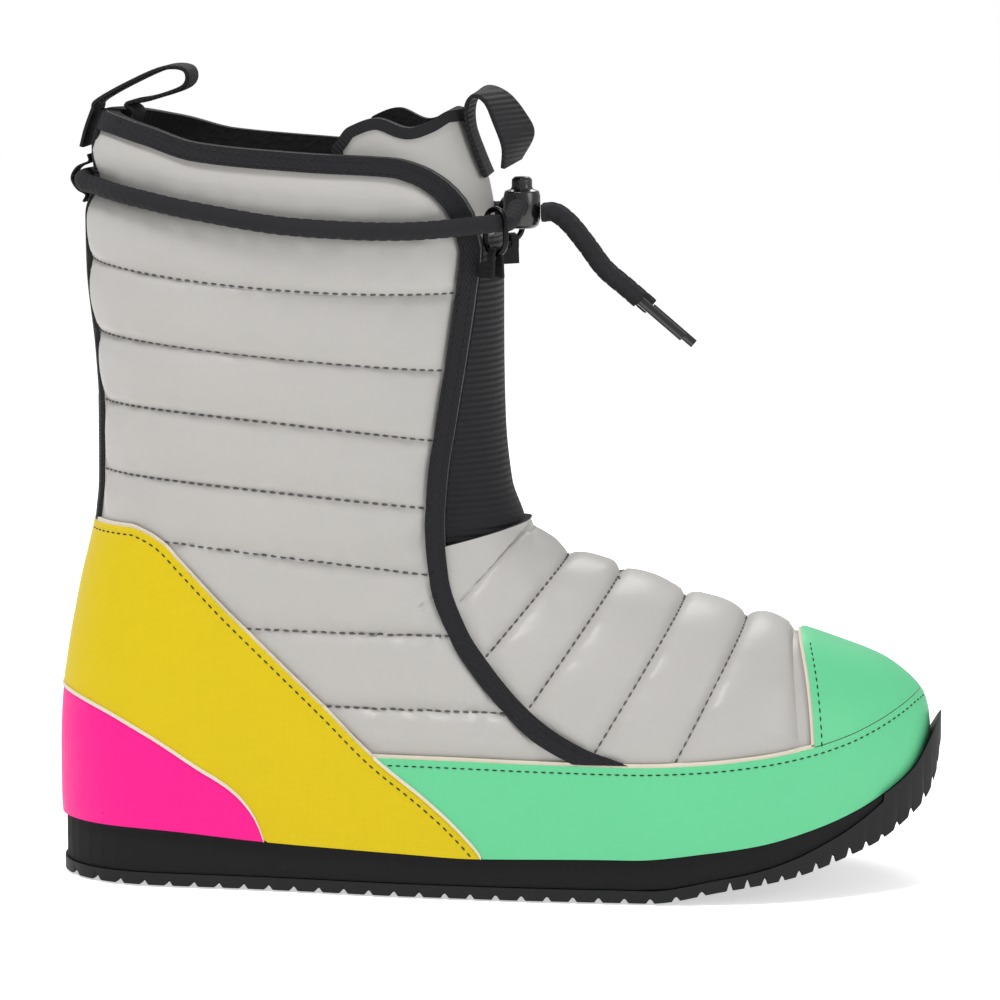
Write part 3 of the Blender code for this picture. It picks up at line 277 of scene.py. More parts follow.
# The foot's side: where it is widest over the feather line, its roundness, its tuck towards the sole and
# its blend
WIDE_RISE, DOME_POWER, SIDE_TUCK, BLEND = 0.022, 2.25, 0.05, 0.012


def half_width(x, z):
    """Half the upper's width at a point of its side view: the foot's and the shaft's forms, blended together."""
    x, z = np.asarray(x, float), np.asarray(z, float)
    wide = WIDE_RISE + 0.5 * feather(x)
    top = np.maximum(ridge(x), wide + GAP)
    rise = fade(z - wide, top - wide)
    dip = fade(wide - z, wide)
    shifted = x - heel_back(z) * fade(HEEL_BLEND - x, HEEL_BLEND)
    foot = plan_half(shifted) * (1 - rise**DOME_POWER) ** (1 / DOME_POWER) * (1 - SIDE_TUCK * dip**2)
    back, front = shaft_back(z), shaft_front(z)
    reach = np.clip((2 * x - front - back) / (front - back), -1, 1)
    power = np.where(reach > 0, FRONT_POWER, BACK_POWER)
    shaft = (1 - np.abs(reach) ** power) ** (1 / power)
    shaft = SHAFT_WIDTH / 2 * smooth(SHAFT, z / COLLAR_HEIGHT, "half") * shaft
    near = fade(BLEND - np.abs(foot - shaft), BLEND) * (np.minimum(foot, shaft) > 0)
    return np.maximum(foot, shaft) + near**2 * BLEND / 4


def middle_line(x, z):
    """The upper's middle line: the last's near the floor and at the toe, and straight above the ankle."""
    above = fade(z / INSTEP_HEIGHT - 0.35, 0.60)
    toe = fade(x / LENGTH - 0.55, 0.35)
    return plan_middle(x) * (1 - above * above * (3 - 2 * above) * (1 - toe))


# Lines of quilting stitches round the shaft: height at the back and the front as shares of the collar's
# height, and how far they sag between. On the vamp: where a line crosses the ridge and where it would meet
# the floor.
SHAFT_SEAMS = rows(
    "at back front sag",
    (0, 1.061, 1.000, 0.018), (1, 0.915, 0.852, 0.018), (2, 0.818, 0.775, 0.015), (3, 0.721, 0.667, 0.0),
    (4, 0.628, 0.568, -0.012), (5, 0.538, 0.482, -0.010), (6, 0.462, 0.396, -0.008), (7, 0.350, 0.334, 0.0),
    (8, 0.250, 0.242, 0.0), (9, 0.160, 0.160, 0.0),
)
VAMP_SEAMS = rows(
    "at ridge floor",
    (0, 0.536, 0.170), (1, 0.587, 0.270), (2, 0.647, 0.400), (3, 0.722, 0.525), (4, 0.793, 0.635),
    (5, 0.848, 0.875),
)
LAST_ROUND_SEAM = 5
SEAM_REACH = 0.1575

# Edges drawn in the side view: along the length, and height as a share of the instep's or the collar's
BINDING_LINE = rows(
    "at x",
    (0.36, 0.676), (0.385, 0.668), (0.42, 0.626), (0.477, 0.582), (0.54, 0.549), (0.64, 0.511), (0.745, 0.480),
    (0.88, 0.459), (1.016, 0.454), (1.15, 0.457), (1.29, 0.4655), (1.45, 0.476), (1.64, 0.487), (1.78, 0.493),
    (2.4, 0.493),
)
PANEL_EDGE = rows(
    "at height",
    (-0.05, 1.002), (0.05, 1.004), (0.092, 1.004), (0.113, 0.990), (0.132, 0.965), (0.156, 0.910),
    (0.208, 0.782), (0.266, 0.648), (0.325, 0.512), (0.376, 0.392), (0.440, 0.270), (0.480, 0.180),
    (0.505, 0.100), (0.515, 0.0),
)
COUNTER_EDGE = rows(
    "at height",
    (-0.05, 0.545), (0.00, 0.533), (0.05, 0.500), (0.112, 0.430), (0.170, 0.344), (0.210, 0.285),
    (0.234, 0.224), (0.250, 0.134), (0.256, 0.0),
)
CAP_EDGE = rows("at x", (0.0, 0.877), (0.43, 0.875), (0.50, 0.873), (0.60, 0.8675), (0.69, 0.858), (0.80, 0.838))
COLLAR_LINE = rows(
    "at height",
    (-0.05, 1.0), (0.05, 1.0), (0.12, 0.985), (0.18, 0.966), (0.30, 0.954), (0.40, 0.9465), (0.43, 0.936),
    (0.455, 0.918), (0.475, 0.893), (0.487, 0.865), (0.493, 0.830),
)
TONGUE_BACK = rows("at x", (0.85, 0.48), (1.10, 0.40), (1.60, 0.345), (2.06, 0.331), (2.10, 0.336), (2.4, 0.345))
TONGUE_TOP = rows(
    "at height",
    (0.30, 0.950), (0.331, 0.962), (0.348, 0.985), (0.379, 0.996), (0.415, 0.983), (0.435, 0.990), (0.455, 1.002),
    (0.60, 1.002),
)
TONGUE_FOOT, GORE_TOP, THROAT_SLOPE, PAST_THROAT = 0.88, 0.84, 0.22, 0.60


def binding_x(z):
    """Where the bound front edge of the quarters lies at height z."""
    return LENGTH * smooth(BINDING_LINE, z / INSTEP_HEIGHT, "x")


def panel_edge(x):
    return INSTEP_HEIGHT * smooth(PANEL_EDGE, x / LENGTH, "height")


def counter_edge(x):
    return INSTEP_HEIGHT * smooth(COUNTER_EDGE, x / LENGTH, "height")


def cap_x(z):
    return LENGTH * smooth(CAP_EDGE, z / INSTEP_HEIGHT, "x")


def collar_line(x):
    return COLLAR_HEIGHT * smooth(COLLAR_LINE, x / LENGTH, "height")


def throat_line(x):
    """Height of the throat's bottom edge, which rises to the ridge."""
    return THROAT_HEIGHT + THROAT_SLOPE * (x - binding_x(THROAT_HEIGHT))


def shaft_seam(seam, x):
    """Height of one line of stitches round the shaft at x."""
    t = fade(x, SEAM_REACH)
    drop = (seam["front"] - seam["back"]) * t - seam["sag"] * 4 * t * (1 - t)
    return COLLAR_HEIGHT * (seam["back"] + drop)


def vamp_seam(seam, z):
    """Place along the length of one line of stitches over the vamp at height z."""
    start = LENGTH * seam["ridge"]
    return LENGTH * seam["floor"] + (start - LENGTH * seam["floor"]) * z / ridge(start)


def swell(value, lines):
    """0 on each line and 1 halfway between two, as padding swells between stitches."""
    total = np.zeros(np.shape(value))
    for one, two in zip(lines, lines[1:]):
        share = (value - one) / (two - one)
        inside = (share > 0) & (share < 1)
        total = np.where(inside, np.sin(np.pi * np.clip(share, 0, 1)) ** 0.6, total)
    return total


# How far from an overlay's edge the padding reaches its full height
LONG_FADE, SHORT_FADE = 0.007, 0.005


def padding(x, z):
    """How far the padding stands out at a point of the side view. It is pressed flat under each overlay."""
    front = x - binding_x(z)
    shaft = swell(z, [shaft_seam(seam, x) for seam in SHAFT_SEAMS])
    vamp = swell(x, [vamp_seam(seam, z) for seam in VAMP_SEAMS])
    out = QUILT * np.where(front > 0, vamp, shaft)
    out = out * fade(z - rand_top(x) - GAP, LONG_FADE) * fade(z - panel_edge(x) - GAP, LONG_FADE)
    out = out * fade(np.abs(front + BINDING_WIDTH / 2) - BINDING_WIDTH / 2 - GAP, SHORT_FADE)
    under_collar = fade(collar_line(x) - BINDING_WIDTH - GAP - z, SHORT_FADE)
    on_vamp = fade(cap_x(z) - GAP - x, SHORT_FADE) * (z < throat_line(x) + SHORT_FADE)
    out = out * np.where(front < 0, under_collar, on_vamp)
    beside_spine = fade(half_width(x, z) - SPINE_WIDTH / 2 - GAP, SHORT_FADE)
    return out * np.where(x < SHAFT_MIDDLE, beside_spine, 1)


def gathers(x, z):
    """Small puckers that the thread pulls into the padding beside each row."""
    total = np.zeros(np.shape(z))
    for seam in SHAFT_SEAMS:
        away = z - shaft_seam(seam, x)
        wave = np.sin(480 * x + 2.5 * np.sin(77 * x + seam["at"])) + 0.6 * np.sin(905 * x + 1.7 * seam["at"])
        total += wave * np.exp(-((np.abs(away) - 0.004) / 0.0032) ** 2) * (x < binding_x(z))
    for seam in VAMP_SEAMS:
        away = x - vamp_seam(seam, z)
        wave = np.sin(510 * z + 2.2 * np.sin(83 * z + seam["at"])) + 0.6 * np.sin(870 * z + 1.9 * seam["at"])
        total += wave * np.exp(-((np.abs(away) - 0.004) / 0.0032) ** 2) * (x > binding_x(z))
    return total


ANKLE_FOLDS = rows(
    "x z lean long deep wide",
    (0.427, 0.98, 0.55, 0.024, 0.0011, 0.0040), (0.405, 0.88, 0.40, 0.020, 0.0007, 0.0035),
    (0.565, 0.86, -0.90, 0.016, 0.0009, 0.0035), (0.545, 0.94, -0.75, 0.014, 0.0007, 0.0030),
    (0.330, 0.93, 0.10, 0.028, 0.0005, 0.0045),
)


def folds(x, z):
    """A few soft creases where the shaft bends into the foot."""
    total = np.zeros(np.shape(z))
    for row in ANKLE_FOLDS:
        dx, dz = x - row["x"] * LENGTH, z - row["z"] * INSTEP_HEIGHT
        along = dx * math.cos(row["lean"]) + dz * math.sin(row["lean"])
        away = dz * math.cos(row["lean"]) - dx * math.sin(row["lean"])
        total -= row["deep"] * np.exp(-(along / row["long"]) ** 2 - (away / row["wide"]) ** 2)
    return total


def pinch(x, z):
    """How deep the thread pulls the skin in along each row."""
    shaft = sum(np.exp(-((z - shaft_seam(seam, x)) / 0.0017) ** 2) for seam in SHAFT_SEAMS)
    vamp = sum(np.exp(-((x - vamp_seam(seam, z)) / 0.0017) ** 2) for seam in VAMP_SEAMS)
    return 0.0009 * np.where(x < binding_x(z), shaft, vamp)


def quilting(x, z):
    """The padding with its puckers and creases. It stays flat where an overlay presses it down."""
    out = padding(x, z)
    loose = np.clip(out / (0.35 * QUILT), 0, 1)
    drift = 1 + 0.10 * np.sin(47 * x + 31 * z) + 0.06 * np.sin(113 * x - 71 * z)
    return out * drift + loose * (0.00030 * gathers(x, z) + folds(x, z)) - pinch(x, z) * (out > 0)


# The rays that lay out the form's grid run from the ridge or the shaft's front to the sole or the shaft's
# back
CROOK_X = 0.1605
ABOVE = 0.016
FINE, COARSE = 76, 26
RAY_STEPS = {"toe": 26, "vamp": 12, "heel": 46, "shaft": 14, "top": 4}
CROOK_EASE = 0.06


def floor_line(x):
    """The form's underside. It lies under the feather line, which cuts it off."""
    return np.minimum(feather(x) - 0.008, 0.034)


def front_point(value):
    """A point of the front outline: the ridge from the toe to the throat up to 1, then the shaft's front."""
    x = CROOK_X + (LENGTH - CROOK_X) * np.cos(np.clip(value, 0, 1) * math.pi / 2)
    up = np.clip(value - 1, 0, 1)
    start = ridge(CROOK_X)
    high = start + (COLLAR_HEIGHT + ABOVE - start) * up
    above = CROOK_X + (shaft_front(high) - CROOK_X) * fade(up, CROOK_EASE)
    return np.where(value > 1, above, x), np.where(value > 1, high, ridge(x))


def low_point(value):
    """A point of the lower outline: under the foot from the toe to the heel up to 1, then the back."""
    x = LENGTH / 2 * (1 + np.cos(np.clip(value, 0, 1) * math.pi))
    start = floor_line(0.0)
    high = start + (COLLAR_HEIGHT + ABOVE - start) * np.clip(value - 1, 0, 1)
    behind = np.minimum(heel_back(high), shaft_back(high))
    return np.where(value > 1, behind, x), np.where(value > 1, high, floor_line(x))


def key_rays():
    """The rays along each line of stitches, and those at the two ends: front value, low value, sag, steps."""
    keys = [(0.0, 0.0, 0.0, RAY_STEPS["toe"])]
    for seam in reversed(VAMP_SEAMS):
        start = max(LENGTH * seam["ridge"], CROOK_X)
        end = vamp_seam(seam, floor_line(vamp_seam(seam, 0.0)))
        front = 2 / math.pi * math.acos((start - CROOK_X) / (LENGTH - CROOK_X))
        low = math.acos(2 * end / LENGTH - 1) / math.pi
        keys.append((front, low, 0.0, RAY_STEPS["vamp" if seam["at"] else "heel"]))
    top = COLLAR_HEIGHT + ABOVE
    for seam in reversed(SHAFT_SEAMS[: LAST_ROUND_SEAM + 1]):
        high = min(float(shaft_seam(seam, SEAM_REACH)), top)
        behind = min(float(shaft_seam(seam, shaft_back(COLLAR_HEIGHT * seam["back"]))), top)
        front = 1 + (high - ridge(CROOK_X)) / (top - ridge(CROOK_X))
        low = 1 + (behind - floor_line(0.0)) / (top - floor_line(0.0))
        keys.append((float(front), float(low), seam["sag"], RAY_STEPS["shaft" if seam["at"] else "top"]))
    keys.append((2.0, 2.0, 0.0, 1))
    return keys


def form_grid(columns):
    """A grid of points on the upper's surface, [ray, side, column], the outer side first."""
    grid = []
    cosine = (1 - np.cos(np.linspace(0, math.pi, 160))) / 2
    keys = key_rays()
    for one, two in zip(keys, keys[1:] + keys[-1:]):
        steps = one[3] if columns == FINE else max(one[3] // 2, 1)
        for step in range(steps):
            front, low, sag = (a + (b - a) * step / steps for a, b in zip(one[:3], two[:3]))
            start, end = front_point(front), low_point(low)
            x = start[0] + (end[0] - start[0]) * cosine
            z = start[1] + (end[1] - start[1]) * cosine
            z = z - COLLAR_HEIGHT * sag * 4 * cosine * (1 - cosine)
            half = half_width(x, z)
            half[0] = 0
            if low >= 1:
                half[-1] = 0
            pair = []
            for sign in (-1, 1):
                line = np.stack([x, middle_line(x, z) + sign * half, z], axis=1)
                run = np.concatenate([[0], np.cumsum(np.linalg.norm(np.diff(line, axis=0), axis=1))])
                even = np.linspace(0, run[-1], columns + 1)
                pair.append(np.stack([np.interp(even, run, line[:, axis]) for axis in range(3)], axis=1))
            grid.append(pair)
    return np.array(grid)


def form_mesh(columns, offset, quilted=False):
    """The upper's closed form, with every point moved out along its normal by offset and by the quilting."""
    grid = form_grid(columns)
    puff = quilting(grid[..., 0], grid[..., 2]) if quilted else np.zeros(grid.shape[:3])
    mesh = bmesh.new()
    layer = mesh.verts.layers.float.new("puff")
    rings = []
    for points, lifts in zip(grid, puff):
        closed = np.linalg.norm(points[0, -1] - points[1, -1]) < 1e-6
        ring = []
        for index, point in enumerate(np.concatenate([points[0], points[1, :0:-1]])):
            if index == columns + 1 and closed:
                ring.append(ring[-1])
                continue
            vert = mesh.verts.new(point)
            vert[layer] = np.concatenate([lifts[0], lifts[1, :0:-1]])[index]
            ring.append(vert)
        rings.append(ring)
    for one, two in zip(rings, rings[1:]):
        for j in range(len(one)):
            k = (j + 1) % len(one)
            corners = list(dict.fromkeys((one[j], one[k], two[k], two[j])))
            if len(corners) > 2:
                mesh.faces.new(corners)
    mesh.faces.new(list(dict.fromkeys(rings[-1])))
    bmesh.ops.remove_doubles(mesh, verts=mesh.verts, dist=1e-5)
    bmesh.ops.dissolve_degenerate(mesh, edges=mesh.edges, dist=1e-6)
    bmesh.ops.recalc_face_normals(mesh, faces=mesh.faces)
    bmesh.ops.triangulate(mesh, faces=mesh.faces, quad_method="BEAUTY")
    mesh.normal_update()
    moves = [(vert, vert.normal * (offset + vert[layer])) for vert in mesh.verts]
    for vert, move in moves:
        vert.co += move
    return mesh


def finish(name, colour, rough, relief, size, kind="grain", metallic=0.0, sheen=0.0, coat=0.0, drift=0.07):
    """A finish with its own relief: grain, ribs, weave, twill, rubber or fleece. size is that relief's pitch."""
    made = bpy.data.materials.new(name)
    made.use_nodes = True
    made.diffuse_color = (*colour, 1)
    nodes, links = made.node_tree.nodes, made.node_tree.links
    shader = nodes["Principled BSDF"]
    shader.inputs["Metallic"].default_value = metallic
    shader.inputs["Specular IOR Level"].default_value = 0.5 if metallic or coat > 0.3 else 0.22
    shader.inputs["Sheen Weight"].default_value = sheen
    shader.inputs["Sheen Roughness"].default_value = 0.45
    shader.inputs["Coat Weight"].default_value = coat
    shader.inputs["Coat Roughness"].default_value = 0.12
    place_at = nodes.new("ShaderNodeTexCoord").outputs["Object"]

    def texture(kind_of, **sockets):
        made_node = nodes.new(kind_of)
        links.new(place_at, made_node.inputs["Vector"])
        for key, value in sockets.items():
            made_node.inputs[key].default_value = value
        return made_node

    def sum_of(a, b, operation="ADD", share=1.0):
        scaled = nodes.new("ShaderNodeMath")
        scaled.operation = "MULTIPLY"
        links.new(b, scaled.inputs[0])
        scaled.inputs[1].default_value = share
        both = nodes.new("ShaderNodeMath")
        both.operation = operation
        links.new(a, both.inputs[0])
        links.new(scaled.outputs[0], both.inputs[1])
        return both.outputs[0]

    fine = texture("ShaderNodeTexNoise", Scale=0.6 / size, Detail=4.0, Roughness=0.6).outputs["Fac"]
    if kind == "grain":
        cells = texture("ShaderNodeTexVoronoi", Scale=1.0 / size)
        cells.feature = "SMOOTH_F1"
        height = sum_of(cells.outputs["Distance"], fine, share=0.8)
    elif kind in ("ribs", "weave", "twill"):
        waves = []
        for direction in {"ribs": ("Z",), "weave": ("X", "Z", "Y"), "twill": ("DIAGONAL",)}[kind]:
            wave = texture("ShaderNodeTexWave", Scale=0.314 / size, Distortion=0.3)
            wave.wave_type = "BANDS"
            wave.bands_direction = direction
            waves.append(wave.outputs["Fac"])
        height = waves[0]
        for other in waves[1:]:
            height = sum_of(height, other, "ADD", 0.8)
        height = sum_of(height, fine, share=0.6)
    else:
        height = fine
    bump = nodes.new("ShaderNodeBump")
    bump.inputs["Strength"].default_value = 0.9
    bump.inputs["Distance"].default_value = relief
    links.new(height, bump.inputs["Height"])
    links.new(bump.outputs["Normal"], shader.inputs["Normal"])
    broad = texture("ShaderNodeTexNoise", Scale=38.0, Detail=5.0, Roughness=0.62).outputs["Fac"]
    tint = nodes.new("ShaderNodeMix")
    tint.data_type = "RGBA"
    tint.inputs[6].default_value = (*[c * (1 - drift) for c in colour], 1)
    tint.inputs[7].default_value = (*[min(c * (1 + drift), 1) for c in colour], 1)
    links.new(broad, tint.inputs[0])
    links.new(tint.outputs[2], shader.inputs["Base Color"])
    gloss = nodes.new("ShaderNodeMapRange")
    gloss.inputs["To Min"].default_value = max(rough - 0.09, 0.05)
    gloss.inputs["To Max"].default_value = min(rough + 0.09, 1)
    links.new(broad, gloss.inputs["Value"])
    links.new(gloss.outputs["Result"], shader.inputs["Roughness"])
    return made


quilt_leather = finish("quilt_leather", (0.43, 0.417, 0.40), 0.42, 0.00005, 0.0007, coat=0.05, drift=0.035)
fleece = finish("fleece", (0.012, 0.012, 0.013), 0.95, 0.0009, 0.0016, "fleece", sheen=0.08, drift=0.3)
raw_edge = finish("raw_edge", (0.66, 0.60, 0.50), 0.8, 0.0001, 0.0004, "fleece", drift=0.1)


def carry(obj, slot, *nodes):
    """Put a finished piece on the boot's only body, in place of the plain solids that it stands for."""
    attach(obj, "root")
    if nodes:
        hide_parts(*nodes)
    return obj


def make(name, mesh, *finishes):
    """Turn a closed bmesh into an object, with its faces pointing out."""
    bmesh.ops.recalc_face_normals(mesh, faces=mesh.faces)
    if mesh.calc_volume(signed=True) < 0:
        bmesh.ops.reverse_faces(mesh, faces=mesh.faces)
    data = bpy.data.meshes.new(name)
    mesh.to_mesh(data)
    mesh.free()
    for one in finishes:
        data.materials.append(one)
    made = bpy.data.objects.new(name, data)
    bpy.context.scene.collection.objects.link(made)
    return made


spare = []


def cutter(name, mesh, *finishes):
    made = make(name, mesh, *finishes)
    spare.append(made)
    return made


def whole(shape, source):
    """Whether a cut has left a thin wall inside its source's box, and not nothing or a solid block."""
    measure = bmesh.new()
    measure.from_mesh(shape)
    left = measure.calc_volume()
    measure.clear()
    measure.from_mesh(source)
    reach = [max(abs(v.co.y) for v in part) for part in (measure.verts, shape.vertices) if len(part)]
    full = measure.calc_volume()
    measure.free()
    return 0 < left < 0.25 * full and reach[-1] < reach[0] + 0.001


def settle(body, *steps):
    """Cut a body by each cutter in turn, and leave a plain mesh in the boot's row frame."""
    for order, tangled in ((steps, False), (steps[::-1], False), (steps, True), (steps[::-1], True)):
        for operation, tool in order:
            step = body.modifiers.new(tool.name, "BOOLEAN")
            step.operation, step.solver, step.object = operation, "EXACT", tool
            step.material_mode, step.use_self = "TRANSFER", tangled
        shape = bpy.data.meshes.new_from_object(body.evaluated_get(bpy.context.evaluated_depsgraph_get()))
        body.modifiers.clear()
        if not steps or whole(shape, body.data):
            break
    body.data = shape
    shape.transform(Matrix.Translation((-HEEL_TREAD_X, 0, 0)))
    shape.shade_smooth()
    shape.set_sharp_from_angle(angle=math.radians(38))
    return body


def prism(name, outline, *finishes):
    """A block over all the boot's width, from an outline drawn in the side view."""
    outline = [(float(x), float(z)) for x, z in outline]
    kept = [b for a, b in zip(outline[-1:] + outline, outline) if math.dist(a, b) > 1e-5]
    mesh = bmesh.new()
    near = [mesh.verts.new((x, -BALL_WIDTH, z)) for x, z in kept]
    far = [mesh.verts.new((x, BALL_WIDTH, z)) for x, z in kept]
    mesh.faces.new(near)
    mesh.faces.new(far[::-1])
    for i in range(len(kept)):
        k = (i + 1) % len(kept)
        mesh.faces.new((near[k], near[i], far[i], far[k]))
    return cutter(name, mesh, *finishes)


BEHIND, BEYOND, OVERHEAD, UNDER = -0.03, LENGTH + 0.03, COLLAR_HEIGHT + 0.05, -0.02
EDGE_STEP = 0.0015


def strip(name, lower, upper, start, end, *finishes):
    """A prism between two heights, given as functions of x. All strips have their corners at the same places."""
    steps = np.arange(BEHIND, BEYOND, EDGE_STEP)
    xs = [start] + list(steps[(steps > start + GAP) & (steps < end - GAP)]) + [end]
    return prism(name, [(x, lower(x)) for x in xs] + [(x, upper(x)) for x in xs[::-1]], *finishes)


def crossing(one, two, low, high):
    """The x where two lines of the side view meet."""
    for _ in range(40):
        middle = (low + high) / 2
        if (one(middle) > two(middle)) == (one(low) > two(low)):
            low = middle
        else:
            high = middle
    return (low + high) / 2

throat_x = LENGTH * PAST_THROAT
collar_end = float(binding_x(COLLAR_HEIGHT))
collar_path = [(x, collar_line(x)) for x in np.linspace(BEHIND, collar_end, 70)]
throat_zs = np.linspace(float(collar_line(collar_end)), THROAT_HEIGHT, 60)
throat_path = [(binding_x(z), z) for z in throat_zs[1:]]
open_edge = collar_path + throat_path + [(throat_x, throat_line(throat_x))]
opening = prism("opening", open_edge + [(throat_x, OVERHEAD), (BEHIND, OVERHEAD)], fleece)
under_upper = strip("under_upper", lambda x: UNDER, over_feather, BEHIND, BEYOND, fleece)
inner_form = cutter("inner_form", form_mesh(COARSE, -WALL), fleece)
upper = make("upper_quilted", form_mesh(FINE, 0.0, True), quilt_leather, fleece)
settle(upper, ("DIFFERENCE", inner_form), ("DIFFERENCE", under_upper), ("DIFFERENCE", opening))
carry(upper, "quilted_grey", "upper")

# The coloured overlays of the foot: grained synthetic leather with pale raw edges, laid over the upper and
# sewn on. From the bottom up they are the toe cap, the rand round the forefoot, the side panel and the heel
# panel.
mint_leather = finish("mint_leather", (0.118, 0.54, 0.262), 0.46, 0.00003, 0.0006, coat=0.06, drift=0.03)
yellow_leather = finish("yellow_leather", (0.62, 0.465, 0.0), 0.50, 0.00006, 0.0008, "weave", drift=0.03)
pink_leather = finish("pink_leather", (0.82, 0.004, 0.24), 0.48, 0.00004, 0.0007, "weave", drift=0.03)
overlay_seat = cutter("overlay_seat", form_mesh(FINE, GAP, True), raw_edge)


def overlay(name, finishes, region, slot, node, high=None):
    high = GAP + PANEL if high is None else high
    body = make(name, form_mesh(FINE, high, True), *finishes)
    settle(body, ("INTERSECT", region), ("DIFFERENCE", overlay_seat))
    return carry(body, slot, *([node] if node else []))


panel_end = crossing(panel_edge, over_feather, 0.30 * LENGTH, 0.515 * LENGTH)
counter_end = crossing(counter_edge, over_feather, 0.15 * LENGTH, 0.256 * LENGTH)
rand_start = crossing(lambda x: panel_edge(x) + GAP, rand_top, 0.20 * LENGTH, 0.50 * LENGTH)
cap_foot = crossing(lambda x: x, lambda x: cap_x(rand_top(x)), 0.80 * LENGTH, 0.95 * LENGTH)


def rand_low(x):
    return max(over_feather(x), panel_edge(x) + GAP if x < panel_end + GAP else 0)


def panel_low(x):
    return max(over_feather(x), counter_edge(x) + GAP if x < counter_end + GAP else 0)


toe_rand = overlay("toe_rand_panel", (mint_leather, raw_edge),
                   strip("rand_region", rand_low, rand_top, rand_start, BEYOND, raw_edge), "mint", "toe_rand")
side_panel = overlay("side_panel_leather", (yellow_leather, raw_edge),
                     strip("panel_region", panel_low, panel_edge, BEHIND, panel_end, raw_edge),
                     "yellow", "side_panel")
heel_panel = overlay("heel_panel_leather", (pink_leather, raw_edge),
                     strip("counter_region", over_feather, counter_edge, BEHIND, counter_end, raw_edge),
                     "pink", "heel_panel")
cap_zs = np.linspace(INSTEP_HEIGHT * 0.8, float(rand_top(cap_foot)) + GAP, 30)
cap_outline = [(cap_x(z), z) for z in cap_zs]
cap_outline += [(x, rand_top(x) + GAP) for x in np.linspace(cap_foot, BEYOND, 60)[1:]]
cap_outline += [(BEYOND, INSTEP_HEIGHT), (cap_outline[0][0], INSTEP_HEIGHT)]
toe_cap = overlay("toe_cap_panel", (mint_leather, raw_edge), prism("cap_region", cap_outline, raw_edge),
                  "mint", "toe_cap")

RAW_EDGE, EDGE_TUCK = 0.0011, 0.0002
BESIDE_PANEL = GAP + 0.7 * PANEL
ON_PANEL = GAP + PANEL + 0.0004


def beyond(edge):
    """The far side of the pale strip that shows along an overlay's cut edge."""
    return lambda x: edge(x) + RAW_EDGE


def tucked(edge):
    """The near side of such a strip, a hair under the overlay."""
    return lambda x: edge(x) - EDGE_TUCK


overlay("rand_raw_edge", (raw_edge,),
        strip("rand_raw", rand_top, beyond(rand_top), rand_start, cap_foot, raw_edge),
        "mint", None, BESIDE_PANEL)
overlay("panel_raw_edge", (raw_edge,),
        strip("panel_raw", panel_edge, beyond(panel_edge), BEHIND, rand_start, raw_edge),
        "yellow", None, BESIDE_PANEL)
overlay("heel_raw_edge", (raw_edge,),
        strip("heel_raw", tucked(counter_edge), beyond(counter_edge), BEHIND, counter_end, raw_edge),
        "pink", None, ON_PANEL)
overlay("panel_foot_edge", (raw_edge,),
        strip("panel_foot", tucked(panel_edge), beyond(panel_edge), rand_start, panel_end, raw_edge),
        "yellow", None, ON_PANEL)
cap_raw = [(float(x), float(z)) for x, z in cap_outline[:30]]
overlay("cap_raw_edge", (raw_edge,),
        prism("cap_raw", [(x - RAW_EDGE, z) for x, z in cap_raw] + cap_raw[::-1], raw_edge),
        "mint", None, BESIDE_PANEL)

# The bound edge of the quarters: soft black webbing folded over the cut edge, up the throat and round the
# collar.
webbing = finish("webbing", (0.014, 0.014, 0.016), 0.78, 0.00018, 0.0011, "twill", drift=0.25)


def border(line, width):
    """The inner side of a border of this width along a line of the side view. It lies to the line's left."""
    inner = []
    for i, (x, z) in enumerate(line):
        before, after = line[max(i - 1, 0)], line[min(i + 1, len(line) - 1)]
        along = Vector((after[0] - before[0], after[1] - before[1])).normalized()
        inner.append((x - along.y * width, z + along.x * width))
    return inner


edge_foot = float(rand_top(0.60 * LENGTH)) + GAP
edge_zs = np.linspace(edge_foot, float(collar_line(collar_end)), 90)
outer_edge = [(float(binding_x(z)), float(z)) for z in edge_zs]
outer_edge += [(float(x), float(z)) for x, z in collar_path[::-1][1:]]
inner_edge = [(x, max(z, edge_foot)) for x, z in border(outer_edge, BINDING_WIDTH)]
binding_region = prism("binding_region", outer_edge + inner_edge[::-1], webbing)
edge_binding = overlay("quarter_binding", (webbing,), binding_region, "black_tape", "edge_binding",
                       GAP + SPINE_TAPE)

# The back tape: ribbed black webbing, sewn down the middle of the back from the side panel to the collar.
ribbed_tape = finish("ribbed_tape", (0.016, 0.016, 0.018), 0.72, 0.00022, 0.0013, "ribs", drift=0.2)
spine_low, spine_high = float(panel_edge(0.0)) + GAP, float(collar_line(0.0)) - BINDING_WIDTH - GAP
spine_box = bmesh.new()
bmesh.ops.create_cube(spine_box, size=1)
bmesh.ops.scale(spine_box, vec=(SHAFT_MIDDLE, SPINE_WIDTH, spine_high - spine_low), verts=spine_box.verts)
bmesh.ops.translate(spine_box, vec=(0, 0, (spine_low + spine_high) / 2), verts=spine_box.verts)
spine_region = cutter("spine_region", spine_box, ribbed_tape)
back_tape = overlay("spine_webbing", (ribbed_tape,), spine_region, "black_tape", "back_tape", GAP + SPINE_TAPE)

